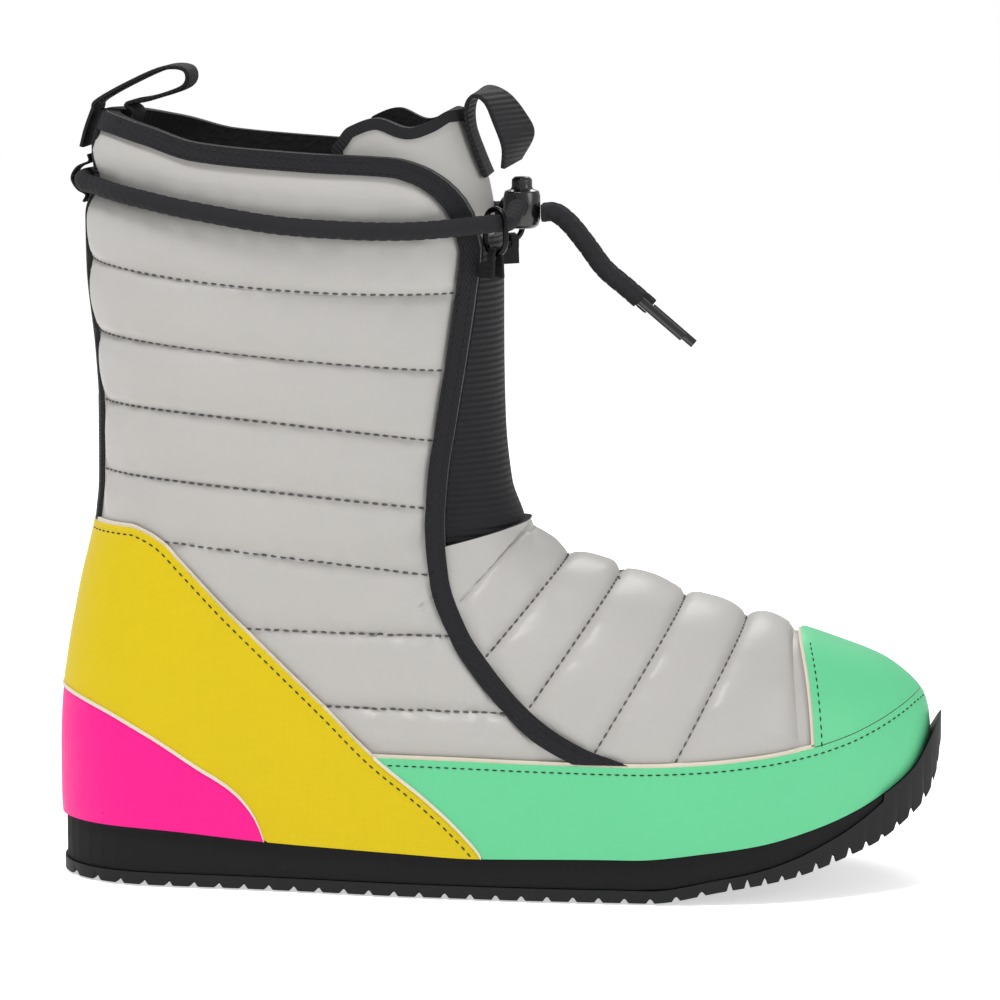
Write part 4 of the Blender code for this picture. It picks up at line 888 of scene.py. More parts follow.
# The tongue: padded grey synthetic leather with a black fleece back and a bound edge, inside the throat.
tongue_outer = -WALL - 3 * GAP
tongue_inner = cutter("tongue_inner", form_mesh(COARSE, tongue_outer - TONGUE_THICK), fleece)
tongue_zs = np.linspace(INSTEP_HEIGHT * TONGUE_FOOT, COLLAR_HEIGHT * 0.962, 50)
tongue_edge = [(float(LENGTH * smooth(TONGUE_BACK, z / INSTEP_HEIGHT, "x")), float(z)) for z in tongue_zs]
for x in np.linspace(tongue_edge[-1][0], throat_x, 90)[1:]:
    tongue_edge.append((float(x), float(COLLAR_HEIGHT * smooth(TONGUE_TOP, x / LENGTH, "height"))))
tongue_region = prism("tongue_region", tongue_edge + [(throat_x, INSTEP_HEIGHT * TONGUE_FOOT)], fleece)
tongue = make("tongue_pad", form_mesh(FINE, tongue_outer), quilt_leather, fleece)
settle(tongue, ("INTERSECT", tongue_region), ("DIFFERENCE", tongue_inner))
carry(tongue, "quilted_grey", "tongue")
TONGUE_BINDING, TONGUE_PROUD = 0.0038, 0.0005
inset = border(tongue_edge, -TONGUE_BINDING)
rim_region = prism("rim_region", tongue_edge + inset[::-1], webbing)
rim_inner = cutter("rim_inner", form_mesh(COARSE, tongue_outer - TONGUE_THICK - TONGUE_PROUD), webbing)
tongue_rim = make("tongue_binding", form_mesh(FINE, tongue_outer + TONGUE_PROUD), webbing)
settle(tongue_rim, ("INTERSECT", rim_region), ("DIFFERENCE", rim_inner))
carry(tongue_rim, "black_tape")

# The gore: wide black ribbed elastic across the throat, in front of the tongue and sewn behind the quarters.
elastic = finish("elastic", (0.013, 0.013, 0.015), 0.7, 0.00035, 0.0021, "ribs", drift=0.2)
gore_inner = cutter("gore_inner", form_mesh(COARSE, -GORE_DEPTH - GORE_THICK), elastic)
gore_zs = np.linspace(THROAT_HEIGHT + GAP, COLLAR_HEIGHT * GORE_TOP, 50)
gore_outline = [(binding_x(z) + GAP, z) for z in gore_zs]
gore_outline += [(throat_x, COLLAR_HEIGHT * GORE_TOP), (throat_x, throat_line(throat_x) + GAP)]
gore = make("elastic_gore", form_mesh(FINE, -GORE_DEPTH), elastic)
settle(gore, ("INTERSECT", prism("gore_region", gore_outline, elastic)), ("DIFFERENCE", gore_inner))
carry(gore, "black_tape", "front_gore")

# The sole: a black rubber outsole with side lugs that climbs over the toe, under a soft foam midsole.
rubber = finish("rubber", (0.011, 0.011, 0.012), 0.62, 0.0001, 0.0009, "fleece", drift=0.2)
foam = finish("foam", (0.009, 0.009, 0.010), 0.85, 0.00012, 0.0007, "fleece", drift=0.2)
SIDE_LEDGE = 0.0008
sole_start, sole_end = -HEEL_LEDGE, LENGTH + TOE_LEDGE
midsole_end = MIDSOLE_END * LENGTH


def layer_half(x, start, end, out):
    """Half a layer's width at x."""
    return plan_half(fade(x - start, end - start) * LENGTH) * (1 + 2 * out / BALL_WIDTH)


def split_line(x):
    """Height of the outsole's upper face: it climbs to the feather line round the toe."""
    low = tread(x) + OUTSOLE_THICK
    return low + (feather(x) - low) * smooth(TOE_WRAP, x / LENGTH, "share")


LUG_SIDES = 40


def lug_relief(run_at, across, toe_run):
    """0 on a lug and 1 in the gap between two: gaps cross each edge, and bend into chevrons under the middle."""
    pitch = np.where(run_at < toe_run, LUG_PITCH, TOE_LUG_PITCH)
    straight = run_at - 0.0055
    bent = straight + 0.35 * pitch * np.cos(across * 9)
    share = np.mod(np.where((np.abs(across) > 0.5) | (run_at > toe_run), straight, bent) / pitch, 1.0)
    uneven = 1 + 0.25 * math.sin(900 * run_at) * (run_at > toe_run)
    return np.clip(1.25 - np.abs(share - 0.15) / 0.13, 0, 1) * uneven


def wrap(mesh, rings):
    """Skins a body over its cross-sections, and closes both ends."""
    for one, two in zip(rings, rings[1:]):
        for j in range(len(one)):
            k = (j + 1) % len(one)
            mesh.faces.new((one[j], one[k], two[k], two[j]))
    mesh.faces.new(rings[0])
    mesh.faces.new(rings[-1])


LUG_STEP = 0.00048
LUG_ENDS = (0.0, 0.0002, 0.0005, 0.001, 0.0016, 0.0024, 0.0034)
LUG_END_RUN = 0.0042


def make_outsole():
    """The outsole's body, section by section along the tread, with a gap between every two lugs."""
    fine = np.linspace(sole_start + 0.00002, sole_end - 0.00002, 6000)
    run = np.concatenate([[0], np.cumsum(np.hypot(np.diff(fine), np.diff(tread(fine))))])
    toe_run = np.interp(0.775 * LENGTH, fine, run)
    step_run = np.interp(midsole_end + GAP, fine, run)
    between = np.arange(LUG_END_RUN, run[-1] - LUG_END_RUN, LUG_STEP)
    stations = np.array([*LUG_ENDS, *between, *(run[-1] - end for end in LUG_ENDS[::-1])])
    stations = np.sort(np.append(stations[np.abs(stations - step_run) > 0.0003], [step_run, step_run + GAP]))
    mesh = bmesh.new()
    rings = []
    across = -np.cos(np.linspace(0, math.pi, LUG_SIDES + 1))
    for at in stations:
        x = float(np.interp(at, run, fine))
        half, middle = float(layer_half(x, sole_start, sole_end, SIDE_LEDGE)), float(plan_middle(x))
        low = float(tread(x))
        high = max(float(split_line(x) if at <= step_run else feather(x)), low + GAP)
        depth = min(TREAD_DEPTH * (1.7 if at > toe_run else 1.0), (high - low) * 0.55)
        gap = lug_relief(at, across, toe_run) * depth * min(half / 0.006, 1)
        edge = float(lug_relief(at, np.array([1.0]), toe_run)[0]) * min(half / 0.006, 1)
        chamfer = min(0.0008, (high - low) * 0.3)
        under = [(x, middle + half * 0.985 * a, low + g + chamfer * abs(a) ** 12) for a, g in zip(across, gap)]
        wall = min(low + TREAD_DEPTH * 2.6, high - 0.0001)
        side, foot = half - 0.0009 * edge, low + chamfer * 0.8
        lug_foot, wall = min(foot + edge * depth, high), max(wall, low)
        ring = under + [(x, middle + side, lug_foot), (x, middle + half, wall), (x, middle + half, high),
                        (x, middle - half, high), (x, middle - half, wall), (x, middle - side, lug_foot)]
        rings.append([mesh.verts.new(point) for point in ring])
    wrap(mesh, rings)
    bmesh.ops.remove_doubles(mesh, verts=mesh.verts, dist=1e-6)
    return make("outsole_lugs", mesh, rubber)


outsole = settle(make_outsole())
carry(outsole, "black_rubber", "outsole")
for node, paint in (("midsole", foam), ("insole", fleece)):
    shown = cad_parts[node]
    shown.data.materials.clear()
    shown.data.materials.append(paint)

# The drawcord: a soft round braid. It lies in the topmost row of stitches, from the cord lock round the
# back and to the lock again, and its two free ends leave the front of the lock side by side.
TAPE_THICK = 0.0015
PULL_WIDTH = 0.022
PULL_LENGTH = 0.032
FRONT_PULL_WIDTH = 0.026
FRONT_PULL_REACH = 0.020
CORD_DIAMETER = 0.0062
RING_WIRE = 0.0020
RING_PLAY = 0.0006
RING_HEIGHT = 0.0170
RING_TAB_WIDTH = 0.0030
RING_TAB_DROP = 0.0080
KEEPER_WIDTH = 0.011
LOCK_DIAMETER = 0.0125
LOCK_HEIGHT = 0.0175
AGLET_DIAMETER = 0.0032
AGLET_LENGTH = 0.0190


def route(points, spacing):
    """A smooth curve through given points, with a point every spacing."""
    points = [Vector([float(value) for value in point]) for point in points]
    ends = [points[0] * 2 - points[1]] + points + [points[-1] * 2 - points[-2]]
    dense = []
    for a, b, c, d in zip(ends, ends[1:], ends[2:], ends[3:]):
        for step in range(24):
            t = step / 24
            bend = (2 * a - 5 * b + 4 * c - d) * t**2 + (3 * b - a - 3 * c + d) * t**3
            dense.append((2 * b + (c - a) * t + bend) / 2)
    dense = np.array([tuple(p) for p in dense + [points[-1]]])
    run = np.concatenate([[0], np.cumsum(np.linalg.norm(np.diff(dense, axis=0), axis=1))])
    even = np.linspace(0, run[-1], max(int(round(run[-1] / spacing)), 2) + 1)
    return np.stack([np.interp(even, run, dense[:, axis]) for axis in range(3)], axis=1)


cord_braid = finish("cord_braid", (0.017, 0.017, 0.019), 0.86, 0.00012, 0.0007, "fleece", drift=0.3)


def sweep(name, points, radius, paint, closed=False, sides=24, braid=0.0, pitch=0.0042):
    """A round piece along points. With braid it carries the raised herringbone of a plaited cord."""
    points = np.array(points, float)
    if closed:
        points = np.vstack([points, points[:1]])
        along = np.roll(points[:-1], -1, axis=0) - np.roll(points[:-1], 1, axis=0)
        along = np.vstack([along, along[:1]])
    else:
        along = np.gradient(points, axis=0)
    along /= np.linalg.norm(along, axis=1, keepdims=True)
    run = np.concatenate([[0], np.cumsum(np.linalg.norm(np.diff(points, axis=0), axis=1))])
    side_way = np.cross(along[0], (0, 0, 1) if abs(along[0][2]) < 0.9 else (1, 0, 0))
    mesh = bmesh.new()
    rings = []
    for at, way, distance in zip(points, along, run):
        side_way = side_way - way * np.dot(side_way, way)
        side_way /= np.linalg.norm(side_way)
        up = np.cross(way, side_way)
        ring = []
        for k in range(sides):
            turn = math.tau * k / sides
            lay = math.tau * distance / pitch
            strands = max(math.sin(4 * turn + lay), math.sin(4 * turn - lay))
            thick = radius * (1 + braid * (strands - 1))
            ring.append(mesh.verts.new(at + thick * (side_way * math.cos(turn) + up * math.sin(turn))))
        rings.append(ring)
    if closed:
        shift = min(range(sides), key=lambda k: (rings[-1][0].co - rings[0][k].co).length)
        for vert in rings[-1]:
            mesh.verts.remove(vert)
        rings[-1] = rings[0][shift:] + rings[0][:shift]
    for one, two in zip(rings, rings[1:]):
        for k in range(sides):
            mesh.faces.new((one[k], one[(k + 1) % sides], two[(k + 1) % sides], two[k]))
    if not closed:
        mesh.faces.new(rings[0])
        mesh.faces.new(rings[-1])
    return settle(make(name, mesh, paint))


CORD_LINE = rows(
    "at height",
    (-0.05, 0.912), (0.03, 0.912), (0.06, 0.908), (0.12, 0.895), (0.18, 0.882), (0.30, 0.862), (0.41, 0.856),
    (0.485, 0.862), (0.60, 0.870),
)
CORD_END = 0.490


def cord_height(x):
    return COLLAR_HEIGHT * smooth(CORD_LINE, x / LENGTH, "height")


def cord_side():
    """The cord's middle on the outer side, from the ring at the front corner to the middle of the back."""
    turn = 0.72 * math.pi * np.linspace(0, 1, 400)
    end = CORD_END * LENGTH
    start = float(shaft_back(cord_height(0.0)))
    x = start + (end - start) * (1 - np.cos(turn)) / (1 - math.cos(turn[-1]))
    z = cord_height(x)
    half = half_width(x, z)
    half[0] = 0
    lift = np.max([quilting(x, z + share * CORD_DIAMETER) for share in (-0.5, -0.25, 0, 0.25, 0.5)], axis=0)
    lift = 0.85 * np.convolve(np.pad(lift, 12, mode="edge"), np.ones(25) / 25, mode="valid")
    on_tape = (SPINE_TAPE + GAP) * fade(SPINE_WIDTH / 2 + 0.009 - half, 0.005)
    on_edge = (SPINE_TAPE + GAP) * fade(x - binding_x(z) + BINDING_WIDTH + 0.004, 0.004)
    near_ring = fade(x - end + 0.022, 0.018)
    near_ring = (RING_WIRE + RING_PLAY + GAP) * near_ring * near_ring * (3 - 2 * near_ring)
    reach = CORD_DIAMETER / 2 + 2 * GAP + lift + np.maximum(on_tape, on_edge) + near_ring
    line = np.stack([x, -half], axis=1)
    along = np.gradient(line, axis=0)
    out = np.stack([along[:, 1], -along[:, 0]], axis=1)
    out /= np.linalg.norm(out, axis=1, keepdims=True)
    line = line + out * reach[:, None]
    line[0] = (x[0] - reach[0], 0)
    return np.stack([line[:, 0], line[:, 1], z], axis=1)[::-1]


side = cord_side()
ring_place = side[0]
onward = (side[0] - side[12]) / np.linalg.norm(side[0] - side[12])
level = np.array([onward[0], onward[1], 0.0]) / np.hypot(onward[0], onward[1])
ring_out = np.array([level[1], -level[0], 0.0])
lock_x = float(shaft_front(ring_place[2])) - GORE_DEPTH + GAP + LOCK_DIAMETER / 2
lock_z = float(ring_place[2]) + 0.2 * LOCK_HEIGHT
lock_side = np.array([lock_x, -LOCK_DIAMETER / 2 - 2 * GAP, lock_z])
turn_in = [lock_side, lock_side - np.array([0.15, 0.8, 0.0]) * CORD_DIAMETER]
turn_in += [ring_place + onward * CORD_DIAMETER]
near_half = route(turn_in + list(side[4::18]) + [side[-1]], 0.0005)
far_half = near_half[::-1][1:] * np.array([1, -1, 1])
drawcord_line = np.concatenate([near_half, far_half])
drawcord = sweep("drawcord_braid", drawcord_line, CORD_DIAMETER / 2, cord_braid, braid=0.07)
carry(drawcord, "black_cord", "drawcord")
gloss_plastic = finish("gloss_plastic", (0.010, 0.010, 0.011), 0.24, 0.00002, 0.002, "fleece", coat=0.4,
                       drift=0.1)
TAIL_ROUTE = rows(
    "forward drop apart",
    (0.0000, 0.0000, 0.0036), (0.0045, 0.0000, 0.0036), (0.0095, -0.0038, 0.0035), (0.0152, -0.0108, 0.0034),
    (0.0212, -0.0188, 0.0034), (0.0287, -0.0252, 0.0034),
)
TAIL_DROP = 0.002
tail_start = np.array([lock_x + LOCK_DIAMETER / 2 + 2 * GAP, 0, lock_z - TAIL_DROP])
for tail_name, sign, extra in (("outer", -1, 0.0), ("inner", 1, 0.0045)):
    points = [tail_start + np.array([row["forward"], sign * row["apart"], row["drop"]]) for row in TAIL_ROUTE]
    heading = (points[-1] - points[-2]) / np.linalg.norm(points[-1] - points[-2])
    tail = route(points + [points[-1] + heading * (CORD_DIAMETER + extra)], 0.0005)
    strand = sweep(f"cord_end_braid_{tail_name}", tail, CORD_DIAMETER / 2, cord_braid, braid=0.07)
    carry(strand, "black_cord", f"cord_end_{tail_name}")
    tips = [tail[-1] + heading * (GAP + AGLET_LENGTH * share) for share in np.linspace(0, 1, 24)]
    tip = sweep(f"cord_tip_sleeve_{tail_name}", tips, AGLET_DIAMETER / 2, gloss_plastic, sides=20)
    carry(tip, "black_plastic", f"cord_tip_{tail_name}")

# The webbing bands: the back pull loop, the front loop, the keeper at the back and the two ring tabs are
# black tape, each folded along its path and sewn at its ends.
BAND_SECTION = (
    (0, -0.5), (0, 0.5), (0.02, 0.93), (0.06, 1), (0.5, 1.0), (0.94, 1), (0.98, 0.93),
    (1, 0.5), (1, -0.5), (0.98, -0.93), (0.94, -1), (0.5, -1.0), (0.06, -1), (0.02, -0.93),
)


def band(name, near, far, thickness, paint, slot, node):
    """A webbing band with rounded edges between its two border lines."""
    near, far = np.array(near, float), np.array(far, float)
    out = np.cross(np.gradient((near + far) / 2, axis=0), far - near)
    out = out / np.linalg.norm(out, axis=1, keepdims=True) * thickness / 2
    mesh = bmesh.new()
    rings = []
    for n, f, o in zip(near, far, out):
        ring = []
        for share, lift in BAND_SECTION:
            ring.append(mesh.verts.new(n + (f - n) * share + o * lift))
        rings.append(ring)
    wrap(mesh, rings)
    return carry(settle(make(name, mesh, paint)), slot, node)


def flat_band(name, path, width, thickness, paint, node):
    """A band along the boot's middle plane."""
    path = route([(x, 0, z) for x, z in path], 0.0006)
    half = np.array([0, width / 2, 0])
    return band(name, path - half, path + half, thickness, paint, "black_tape", node)


def spine_seat(z, thickness):
    """Where the middle of a tape of this thickness lies against the tape down the back."""
    return float(shaft_back(z)) - SPINE_TAPE - 2 * GAP - thickness / 2


# The pull loop at the back: sewn outside the collar, and tucked in behind it. Forward and lift are shares
# of its length, from where it passes the collar.
PULL_LOOP = rows(
    "forward lift",
    (0.047, 0.094), (0.375, 0.278), (0.75, 0.4375), (0.984, 0.42), (0.97, 0.25), (0.625, 0.12), (0.36, 0.06),
)
PULL_SEAT, PULL_TUCK = (0.952, 0.975, 1.0), (0.995, 0.965)
pull_path = []
for share in PULL_SEAT:
    pull_path.append((spine_seat(share * COLLAR_HEIGHT, TAPE_THICK) - 5 * GAP, share * COLLAR_HEIGHT))
pull_x = pull_path[-1][0]
for row in PULL_LOOP:
    pull_path.append((pull_x + PULL_LENGTH * row["forward"], COLLAR_HEIGHT + PULL_LENGTH * row["lift"]))
for share in PULL_TUCK:
    inside = float(shaft_back(share * COLLAR_HEIGHT)) + WALL + 17 * GAP + TAPE_THICK / 2
    pull_path.append((inside, share * COLLAR_HEIGHT))
flat_band("back_pull_webbing", pull_path, PULL_WIDTH, TAPE_THICK, webbing, "back_pull_loop")
KEEPER_ROUTE = rows("out up", (0.55, 0.86), (1.0, 0.0), (0.55, -0.86))
cord_back = side[-1]
keep = CORD_DIAMETER / 2 + GAP + TAPE_THICK / 2
keeper_thick = TAPE_THICK * 0.6
keeper_rows = [(cord_back[0] - keep * row["out"], cord_back[2] + keep * row["up"]) for row in KEEPER_ROUTE]
over, below = [[(spine_seat(cord_back[2] + keep * share, keeper_thick) - 2 * GAP, cord_back[2] + keep * share)
                for share in shares] for shares in ((1.95, 1.35), (-1.35, -1.95))]
flat_band("keeper_strap", over + keeper_rows + below, KEEPER_WIDTH, keeper_thick, webbing, "cord_keeper")
FRONT_LOOP = rows(
    "near_z near_out far_z far_out",
    (0.916, 0.020, 0.917, 0.024), (0.943, 0.022, 0.944, 0.026), (0.977, 0.035, 0.979, 0.045),
    (1.006, 0.130, 1.0095, 0.190), (1.020, 0.310, 1.0275, 0.460), (1.0115, 0.475, 1.019, 0.770),
    (0.985, 0.515, 0.994, 0.960), (0.954, 0.505, 0.9675, 0.990), (0.9275, 0.350, 0.935, 0.600),
)


def loop_edge(edge, y):
    """One edge of the front loop, from its back run over the top to its front run."""
    points = []
    for row in FRONT_LOOP:
        z = COLLAR_HEIGHT * row[edge + "_z"]
        face = float(shaft_front(z)) + tongue_outer
        points.append((face + FRONT_PULL_REACH * row[edge + "_out"], y, z))
    line = route(points, TAPE_THICK / 8)
    return line[np.round(np.linspace(0, len(line) - 1, 140)).astype(int)]


loop_webbing = finish("loop_webbing", (0.013, 0.013, 0.015), 0.74, 0.00030, 0.0017, "ribs", drift=0.2)
near_edge, far_edge = loop_edge("near", -FRONT_PULL_WIDTH / 2), loop_edge("far", FRONT_PULL_WIDTH / 2)
band("front_pull_webbing", near_edge, far_edge, TAPE_THICK, loop_webbing, "black_tape", "front_pull_loop")

# The two rings: bent black wire round the cord at the front corners, each on a folded tab sewn to the
# quarter.
ring_metal = finish("ring_metal", (0.020, 0.020, 0.022), 0.28, 0.00001, 0.002, "fleece", metallic=1.0,
                    drift=0.1)
RING_FOLD = rows(
    "along up inward",
    (-1.15, -1.0, 1.0), (-1.0, -0.42, 1.0), (-1.0, -0.24, 0.0), (-1.0, 0.0, 0.0), (-0.7, 0.18, 0.0),
    (0.0, 0.256, 0.0),
    (0.7, 0.18, 0.0), (1.0, 0.0, 0.0), (1.0, -0.24, 0.0), (1.0, -0.42, 1.0), (1.15, -1.0, 1.0),
)
RING_POINTS, TAB_THIN = 72, 0.7
ring_across = CORD_DIAMETER / 2 + RING_PLAY + RING_WIRE / 2
ring_tall = (RING_HEIGHT - RING_WIRE) / 2 - ring_across
ring_centre = ring_place - np.array([0, 0, ring_tall])
ring_bar = ring_centre - np.array([0, 0, ring_tall + ring_across])
ring_stand = ring_across + RING_WIRE / 2
hug = RING_WIRE / 2 + GAP + TAPE_THICK / 2
for side_name, sign in (("outer", 1), ("inner", -1)):
    mirror = np.array([1, sign, 1])
    loop = []
    for step in range(RING_POINTS):
        turn = (step + 0.5) / RING_POINTS * math.tau
        rise = ring_across * math.sin(turn) + math.copysign(ring_tall, math.sin(turn))
        loop.append((ring_centre + ring_out * ring_across * math.cos(turn) + np.array([0, 0, rise])) * mirror)
    wire = sweep(f"ring_wire_{side_name}", loop, RING_WIRE / 2, ring_metal, closed=True, sides=16)
    carry(wire, "black_metal", f"ring_{side_name}")
    near, far = [], []
    for fold in RING_FOLD:
        at = ring_bar + level * hug * fold["along"] + np.array([0, 0, RING_TAB_DROP * fold["up"]])
        reach = RING_TAB_WIDTH / 2 + (ring_stand - RING_TAB_WIDTH / 2) * fold["inward"]
        near.append((at - ring_out * reach) * mirror)
        far.append((at + ring_out * RING_TAB_WIDTH / 2) * mirror)
    band(f"ring_tab_webbing_{side_name}", near, far, TAPE_THICK * TAB_THIN, webbing, "black_tape",
         f"ring_tab_{side_name}")

# The cord lock: a glossy black plastic barrel with a push button, which grips both ends of the cord.
LOCK_SHAPE = rows(
    "at radius",
    (0.00, 0.72), (0.06, 0.92), (0.16, 1.00), (0.62, 1.00), (0.72, 0.93), (0.76, 0.62), (0.80, 0.56), (0.94, 0.56),
    (1.00, 0.40),
)
LOCK_SIDES, LOCK_GRIP = 48, 0.42
lock_mesh = bmesh.new()
lock_rings = []
for row in LOCK_SHAPE:
    height = lock_z + LOCK_HEIGHT * (row["at"] - LOCK_GRIP)
    radius = LOCK_DIAMETER / 2 * row["radius"]
    turns = [math.tau * k / LOCK_SIDES for k in range(LOCK_SIDES)]
    points = [(lock_x + radius * math.cos(t), radius * math.sin(t), height) for t in turns]
    lock_rings.append([lock_mesh.verts.new(point) for point in points])
wrap(lock_mesh, lock_rings)
cord_lock = settle(make("cord_lock_barrel", lock_mesh, gloss_plastic))
bevel = cord_lock.modifiers.new("soft_rims", "BEVEL")
bevel.width, bevel.segments, bevel.limit_method, bevel.angle_limit = 0.0003, 2, "ANGLE", math.radians(20)
carry(cord_lock, "black_plastic", "cord_lock")

# The stitches: each row is thread laid by Geometry Nodes, one short stitch after another along a line on
# the surface.
skins = []
for piece in (upper, toe_rand, side_panel, heel_panel, toe_cap, edge_binding, back_tape, gore):
    piece.data.calc_loop_triangles()
    corners = [v.co.copy() for v in piece.data.vertices]
    skins.append(BVHTree.FromPolygons(corners, [tuple(t.vertices) for t in piece.data.loop_triangles]))


def stitch_tree():
    """The node tree that lays one stitch after another along a line of edges."""
    tree = bpy.data.node_groups.new("thread_row", "GeometryNodeTree")
    face = tree.interface
    face.new_socket("Geometry", in_out="INPUT", socket_type="NodeSocketGeometry")
    for label in ("Pitch", "Length", "Thickness"):
        face.new_socket(label, in_out="INPUT", socket_type="NodeSocketFloat")
    face.new_socket("Thread", in_out="INPUT", socket_type="NodeSocketMaterial")
    face.new_socket("Geometry", in_out="OUTPUT", socket_type="NodeSocketGeometry")
    nodes, links = tree.nodes, tree.links
    given, result = nodes.new("NodeGroupInput"), nodes.new("NodeGroupOutput")
    curve = nodes.new("GeometryNodeMeshToCurve")
    even = nodes.new("GeometryNodeResampleCurve")
    even.mode = "LENGTH"
    links.new(given.outputs["Geometry"], curve.inputs["Mesh"])
    links.new(curve.outputs["Curve"], even.inputs["Curve"])
    links.new(given.outputs["Pitch"], even.inputs["Length"])
    bead = nodes.new("GeometryNodeMeshUVSphere")
    bead.inputs["Segments"].default_value = 6
    bead.inputs["Rings"].default_value = 5
    bead.inputs["Radius"].default_value = 0.5
    size = nodes.new("ShaderNodeCombineXYZ")
    links.new(given.outputs["Thickness"], size.inputs["X"])
    links.new(given.outputs["Thickness"], size.inputs["Y"])
    links.new(given.outputs["Length"], size.inputs["Z"])
    lay = nodes.new("GeometryNodeInstanceOnPoints")
    way = nodes.new("GeometryNodeInputTangent")
    turn = nodes.new("FunctionNodeAlignRotationToVector")
    turn.axis = "Z"
    links.new(way.outputs["Tangent"], turn.inputs["Vector"])
    links.new(even.outputs["Curve"], lay.inputs["Points"])
    links.new(bead.outputs["Mesh"], lay.inputs["Instance"])
    links.new(turn.outputs["Rotation"], lay.inputs["Rotation"])
    links.new(size.outputs["Vector"], lay.inputs["Scale"])
    real = nodes.new("GeometryNodeRealizeInstances")
    links.new(lay.outputs["Instances"], real.inputs["Geometry"])
    paint = nodes.new("GeometryNodeSetMaterial")
    links.new(real.outputs["Geometry"], paint.inputs["Geometry"])
    links.new(given.outputs["Thread"], paint.inputs["Material"])
    links.new(paint.outputs["Geometry"], result.inputs["Geometry"])
    return tree


thread_row = stitch_tree()
grey_thread = finish("grey_thread", (0.10, 0.10, 0.10), 0.7, 0.00003, 0.0003, "fleece", drift=0.1)
dark_thread = finish("dark_thread", (0.02, 0.02, 0.022), 0.7, 0.00003, 0.0003, "fleece", drift=0.1)


def on_skin(x, z, sign, proud):
    """The point of the boot's surface beside a point of the side view."""
    beside = middle_line(x, z) + sign * (half_width(x, z) + 0.004)
    guess = Vector((float(x) - HEEL_TREAD_X, float(beside), float(z)))
    inward = Vector((0, -sign, 0))
    hits = [skin.ray_cast(guess + inward * -0.01, inward, 0.05) for skin in skins]
    hits = [hit for hit in hits if hit[0] is not None]
    if hits:
        nearest = min(hits, key=lambda hit: hit[3])
    else:
        nearest = min((skin.find_nearest(guess) for skin in skins), key=lambda hit: hit[3])
    return nearest[0] + nearest[1] * proud


def thread(name, lines, pitch, length, thick, paint, slot, proud=0.0):
    """Rows of stitches along lines of the side view, on both sides of the boot."""
    mesh = bmesh.new()
    for line in lines:
        for sign in (-1, 1):
            points = [on_skin(x, z, sign, proud) for x, z in line]
            kept = [points[0]]
            for point in points[1:]:
                if 0.0002 < (point - kept[-1]).length < 0.02:
                    kept.append(point)
            verts = [mesh.verts.new(p) for p in kept]
            for a, b in zip(verts, verts[1:]):
                mesh.edges.new((a, b))
    data = bpy.data.meshes.new(name)
    mesh.to_mesh(data)
    mesh.free()
    made = bpy.data.objects.new(name, data)
    bpy.context.scene.collection.objects.link(made)
    step = made.modifiers.new("thread_row", "NODES")
    step.node_group = thread_row
    values = {"Pitch": pitch, "Length": length, "Thickness": thick, "Thread": paint}
    for item in thread_row.interface.items_tree:
        if item.in_out == "INPUT" and item.name in values:
            step[item.identifier] = values[item.name]
    shape = bpy.data.meshes.new_from_object(made.evaluated_get(bpy.context.evaluated_depsgraph_get()))
    made.modifiers.clear()
    made.data = shape
    shape.shade_smooth()
    return carry(made, slot)


def offset_line(points, away):
    """A line of the side view moved sideways: to its left when away is positive."""
    points = np.array([(float(x), float(z)) for x, z in points])
    along = np.gradient(points, axis=0)
    along /= np.linalg.norm(along, axis=1, keepdims=True)
    return [tuple(p) for p in points + np.stack([-along[:, 1], along[:, 0]], axis=1) * away]


def shaft_row(seam):
    """The seen stretch of a row round the shaft, clear of the overlays, the binding and the back tape."""
    xs = np.linspace(0.004, 0.155, 150)
    line = [(x, float(shaft_seam(seam, x))) for x in xs]
    return [(x, z) for x, z in line
            if x < binding_x(z) - BINDING_WIDTH - 0.001 and z > max(rand_top(x), panel_edge(x)) + 0.0015
            and x > shaft_back(z) + 0.0005 and half_width(x, z) > SPINE_WIDTH / 2 + 0.0005]


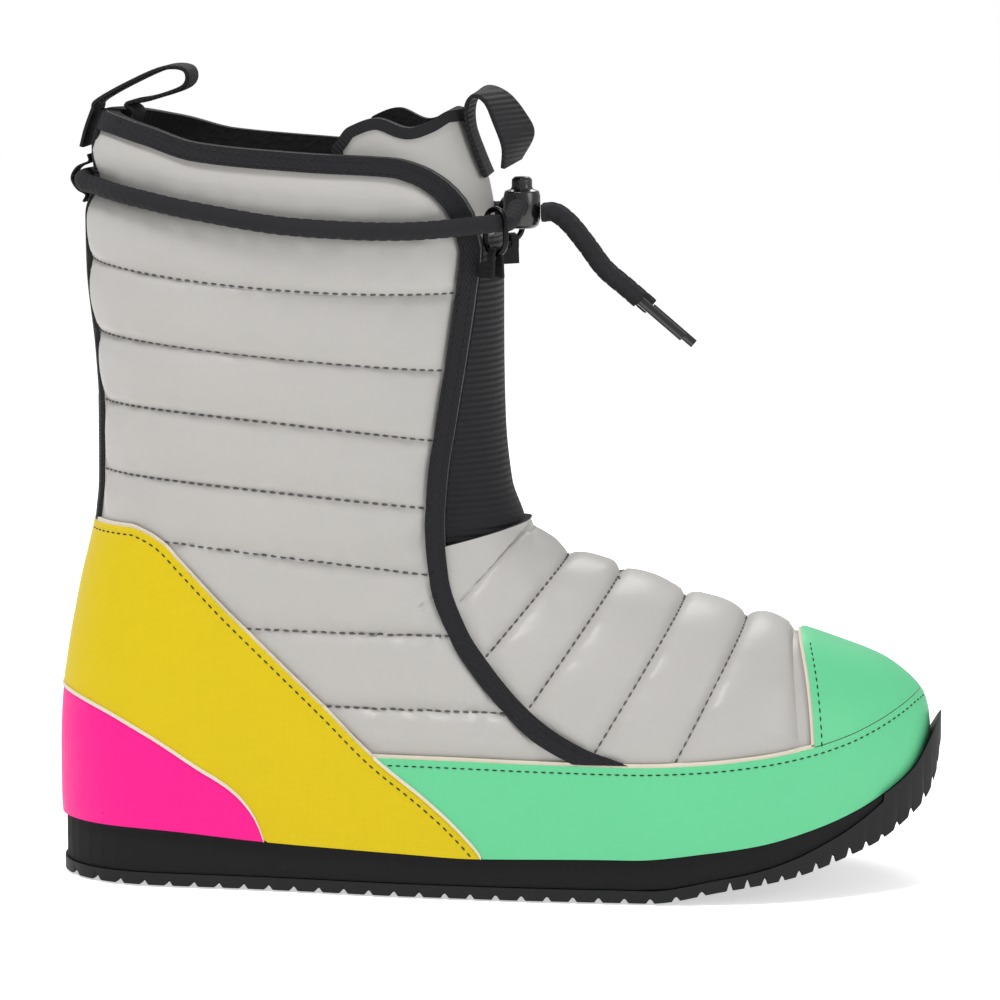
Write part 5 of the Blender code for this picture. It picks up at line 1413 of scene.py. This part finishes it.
def vamp_row(seam):
    """The seen stretch of a row across the vamp."""
    zs = np.linspace(float(ridge(LENGTH * seam["ridge"])) - 0.0002, 0.045, 90)
    line = [(float(vamp_seam(seam, z)), z) for z in zs]
    return [(x, z) for x, z in line if z > rand_top(x) + 0.001 and x > binding_x(z) + 0.001 and z < ridge(x)]


# Pitch, length and thickness of the stitches: long ones through the padding, short ones along each edge.
QUILT_STITCH = (0.0031, 0.0022, 0.00085)
PANEL_STITCH = (0.0029, 0.0019, 0.0006)
EDGE_STITCH = (0.0027, 0.0018, 0.00055)
BINDING_STITCH = (0.0027, 0.0018, 0.0005)
HEM, SEAM_CLEAR = 0.0024, 0.001
thread("shaft_rows", [shaft_row(seam) for seam in SHAFT_SEAMS[2:9]], *QUILT_STITCH, grey_thread, "quilted_grey")
thread("vamp_rows", [vamp_row(seam) for seam in VAMP_SEAMS[1:5]], *QUILT_STITCH, grey_thread, "quilted_grey")
panel_xs = np.linspace(0.002, panel_end, 140)
panel_row = offset_line([(x, float(panel_edge(x))) for x in panel_xs], -0.0026)
panel_row = [(x, z) for x, z in panel_row if z > feather(x) + SEAM_CLEAR and x > shaft_back(z)]
thread("panel_rows", [panel_row], *PANEL_STITCH, dark_thread, "yellow")
rand_row = [(x, float(rand_top(x)) - HEM) for x in np.linspace(rand_start + 0.003, LENGTH - 0.001, 170)]
thread("rand_rows", [rand_row], *EDGE_STITCH, dark_thread, "mint")
cap_low, cap_high = float(rand_top(cap_foot)) + SEAM_CLEAR, float(ridge(cap_x(0.08))) - SEAM_CLEAR
cap_row = [(float(cap_x(z)) + HEM, z) for z in np.linspace(cap_low, cap_high, 60)]
thread("cap_rows", [cap_row], *EDGE_STITCH, dark_thread, "mint")


def binding_row(away):
    """A row on the binding, this far from its outer edge."""
    line = offset_line(outer_edge, away)
    return [(x, z) for x, z in line if x > shaft_back(z) + SEAM_CLEAR and z > rand_top(x) + SEAM_CLEAR]


binding_rows = [binding_row(away) for away in (0.0015, 0.0048)]
thread("binding_rows", binding_rows, *BINDING_STITCH, dark_thread, "black_tape", 0.0001)

for tool in spare:
    bpy.data.objects.remove(tool)
bpy.context.view_layer.update()
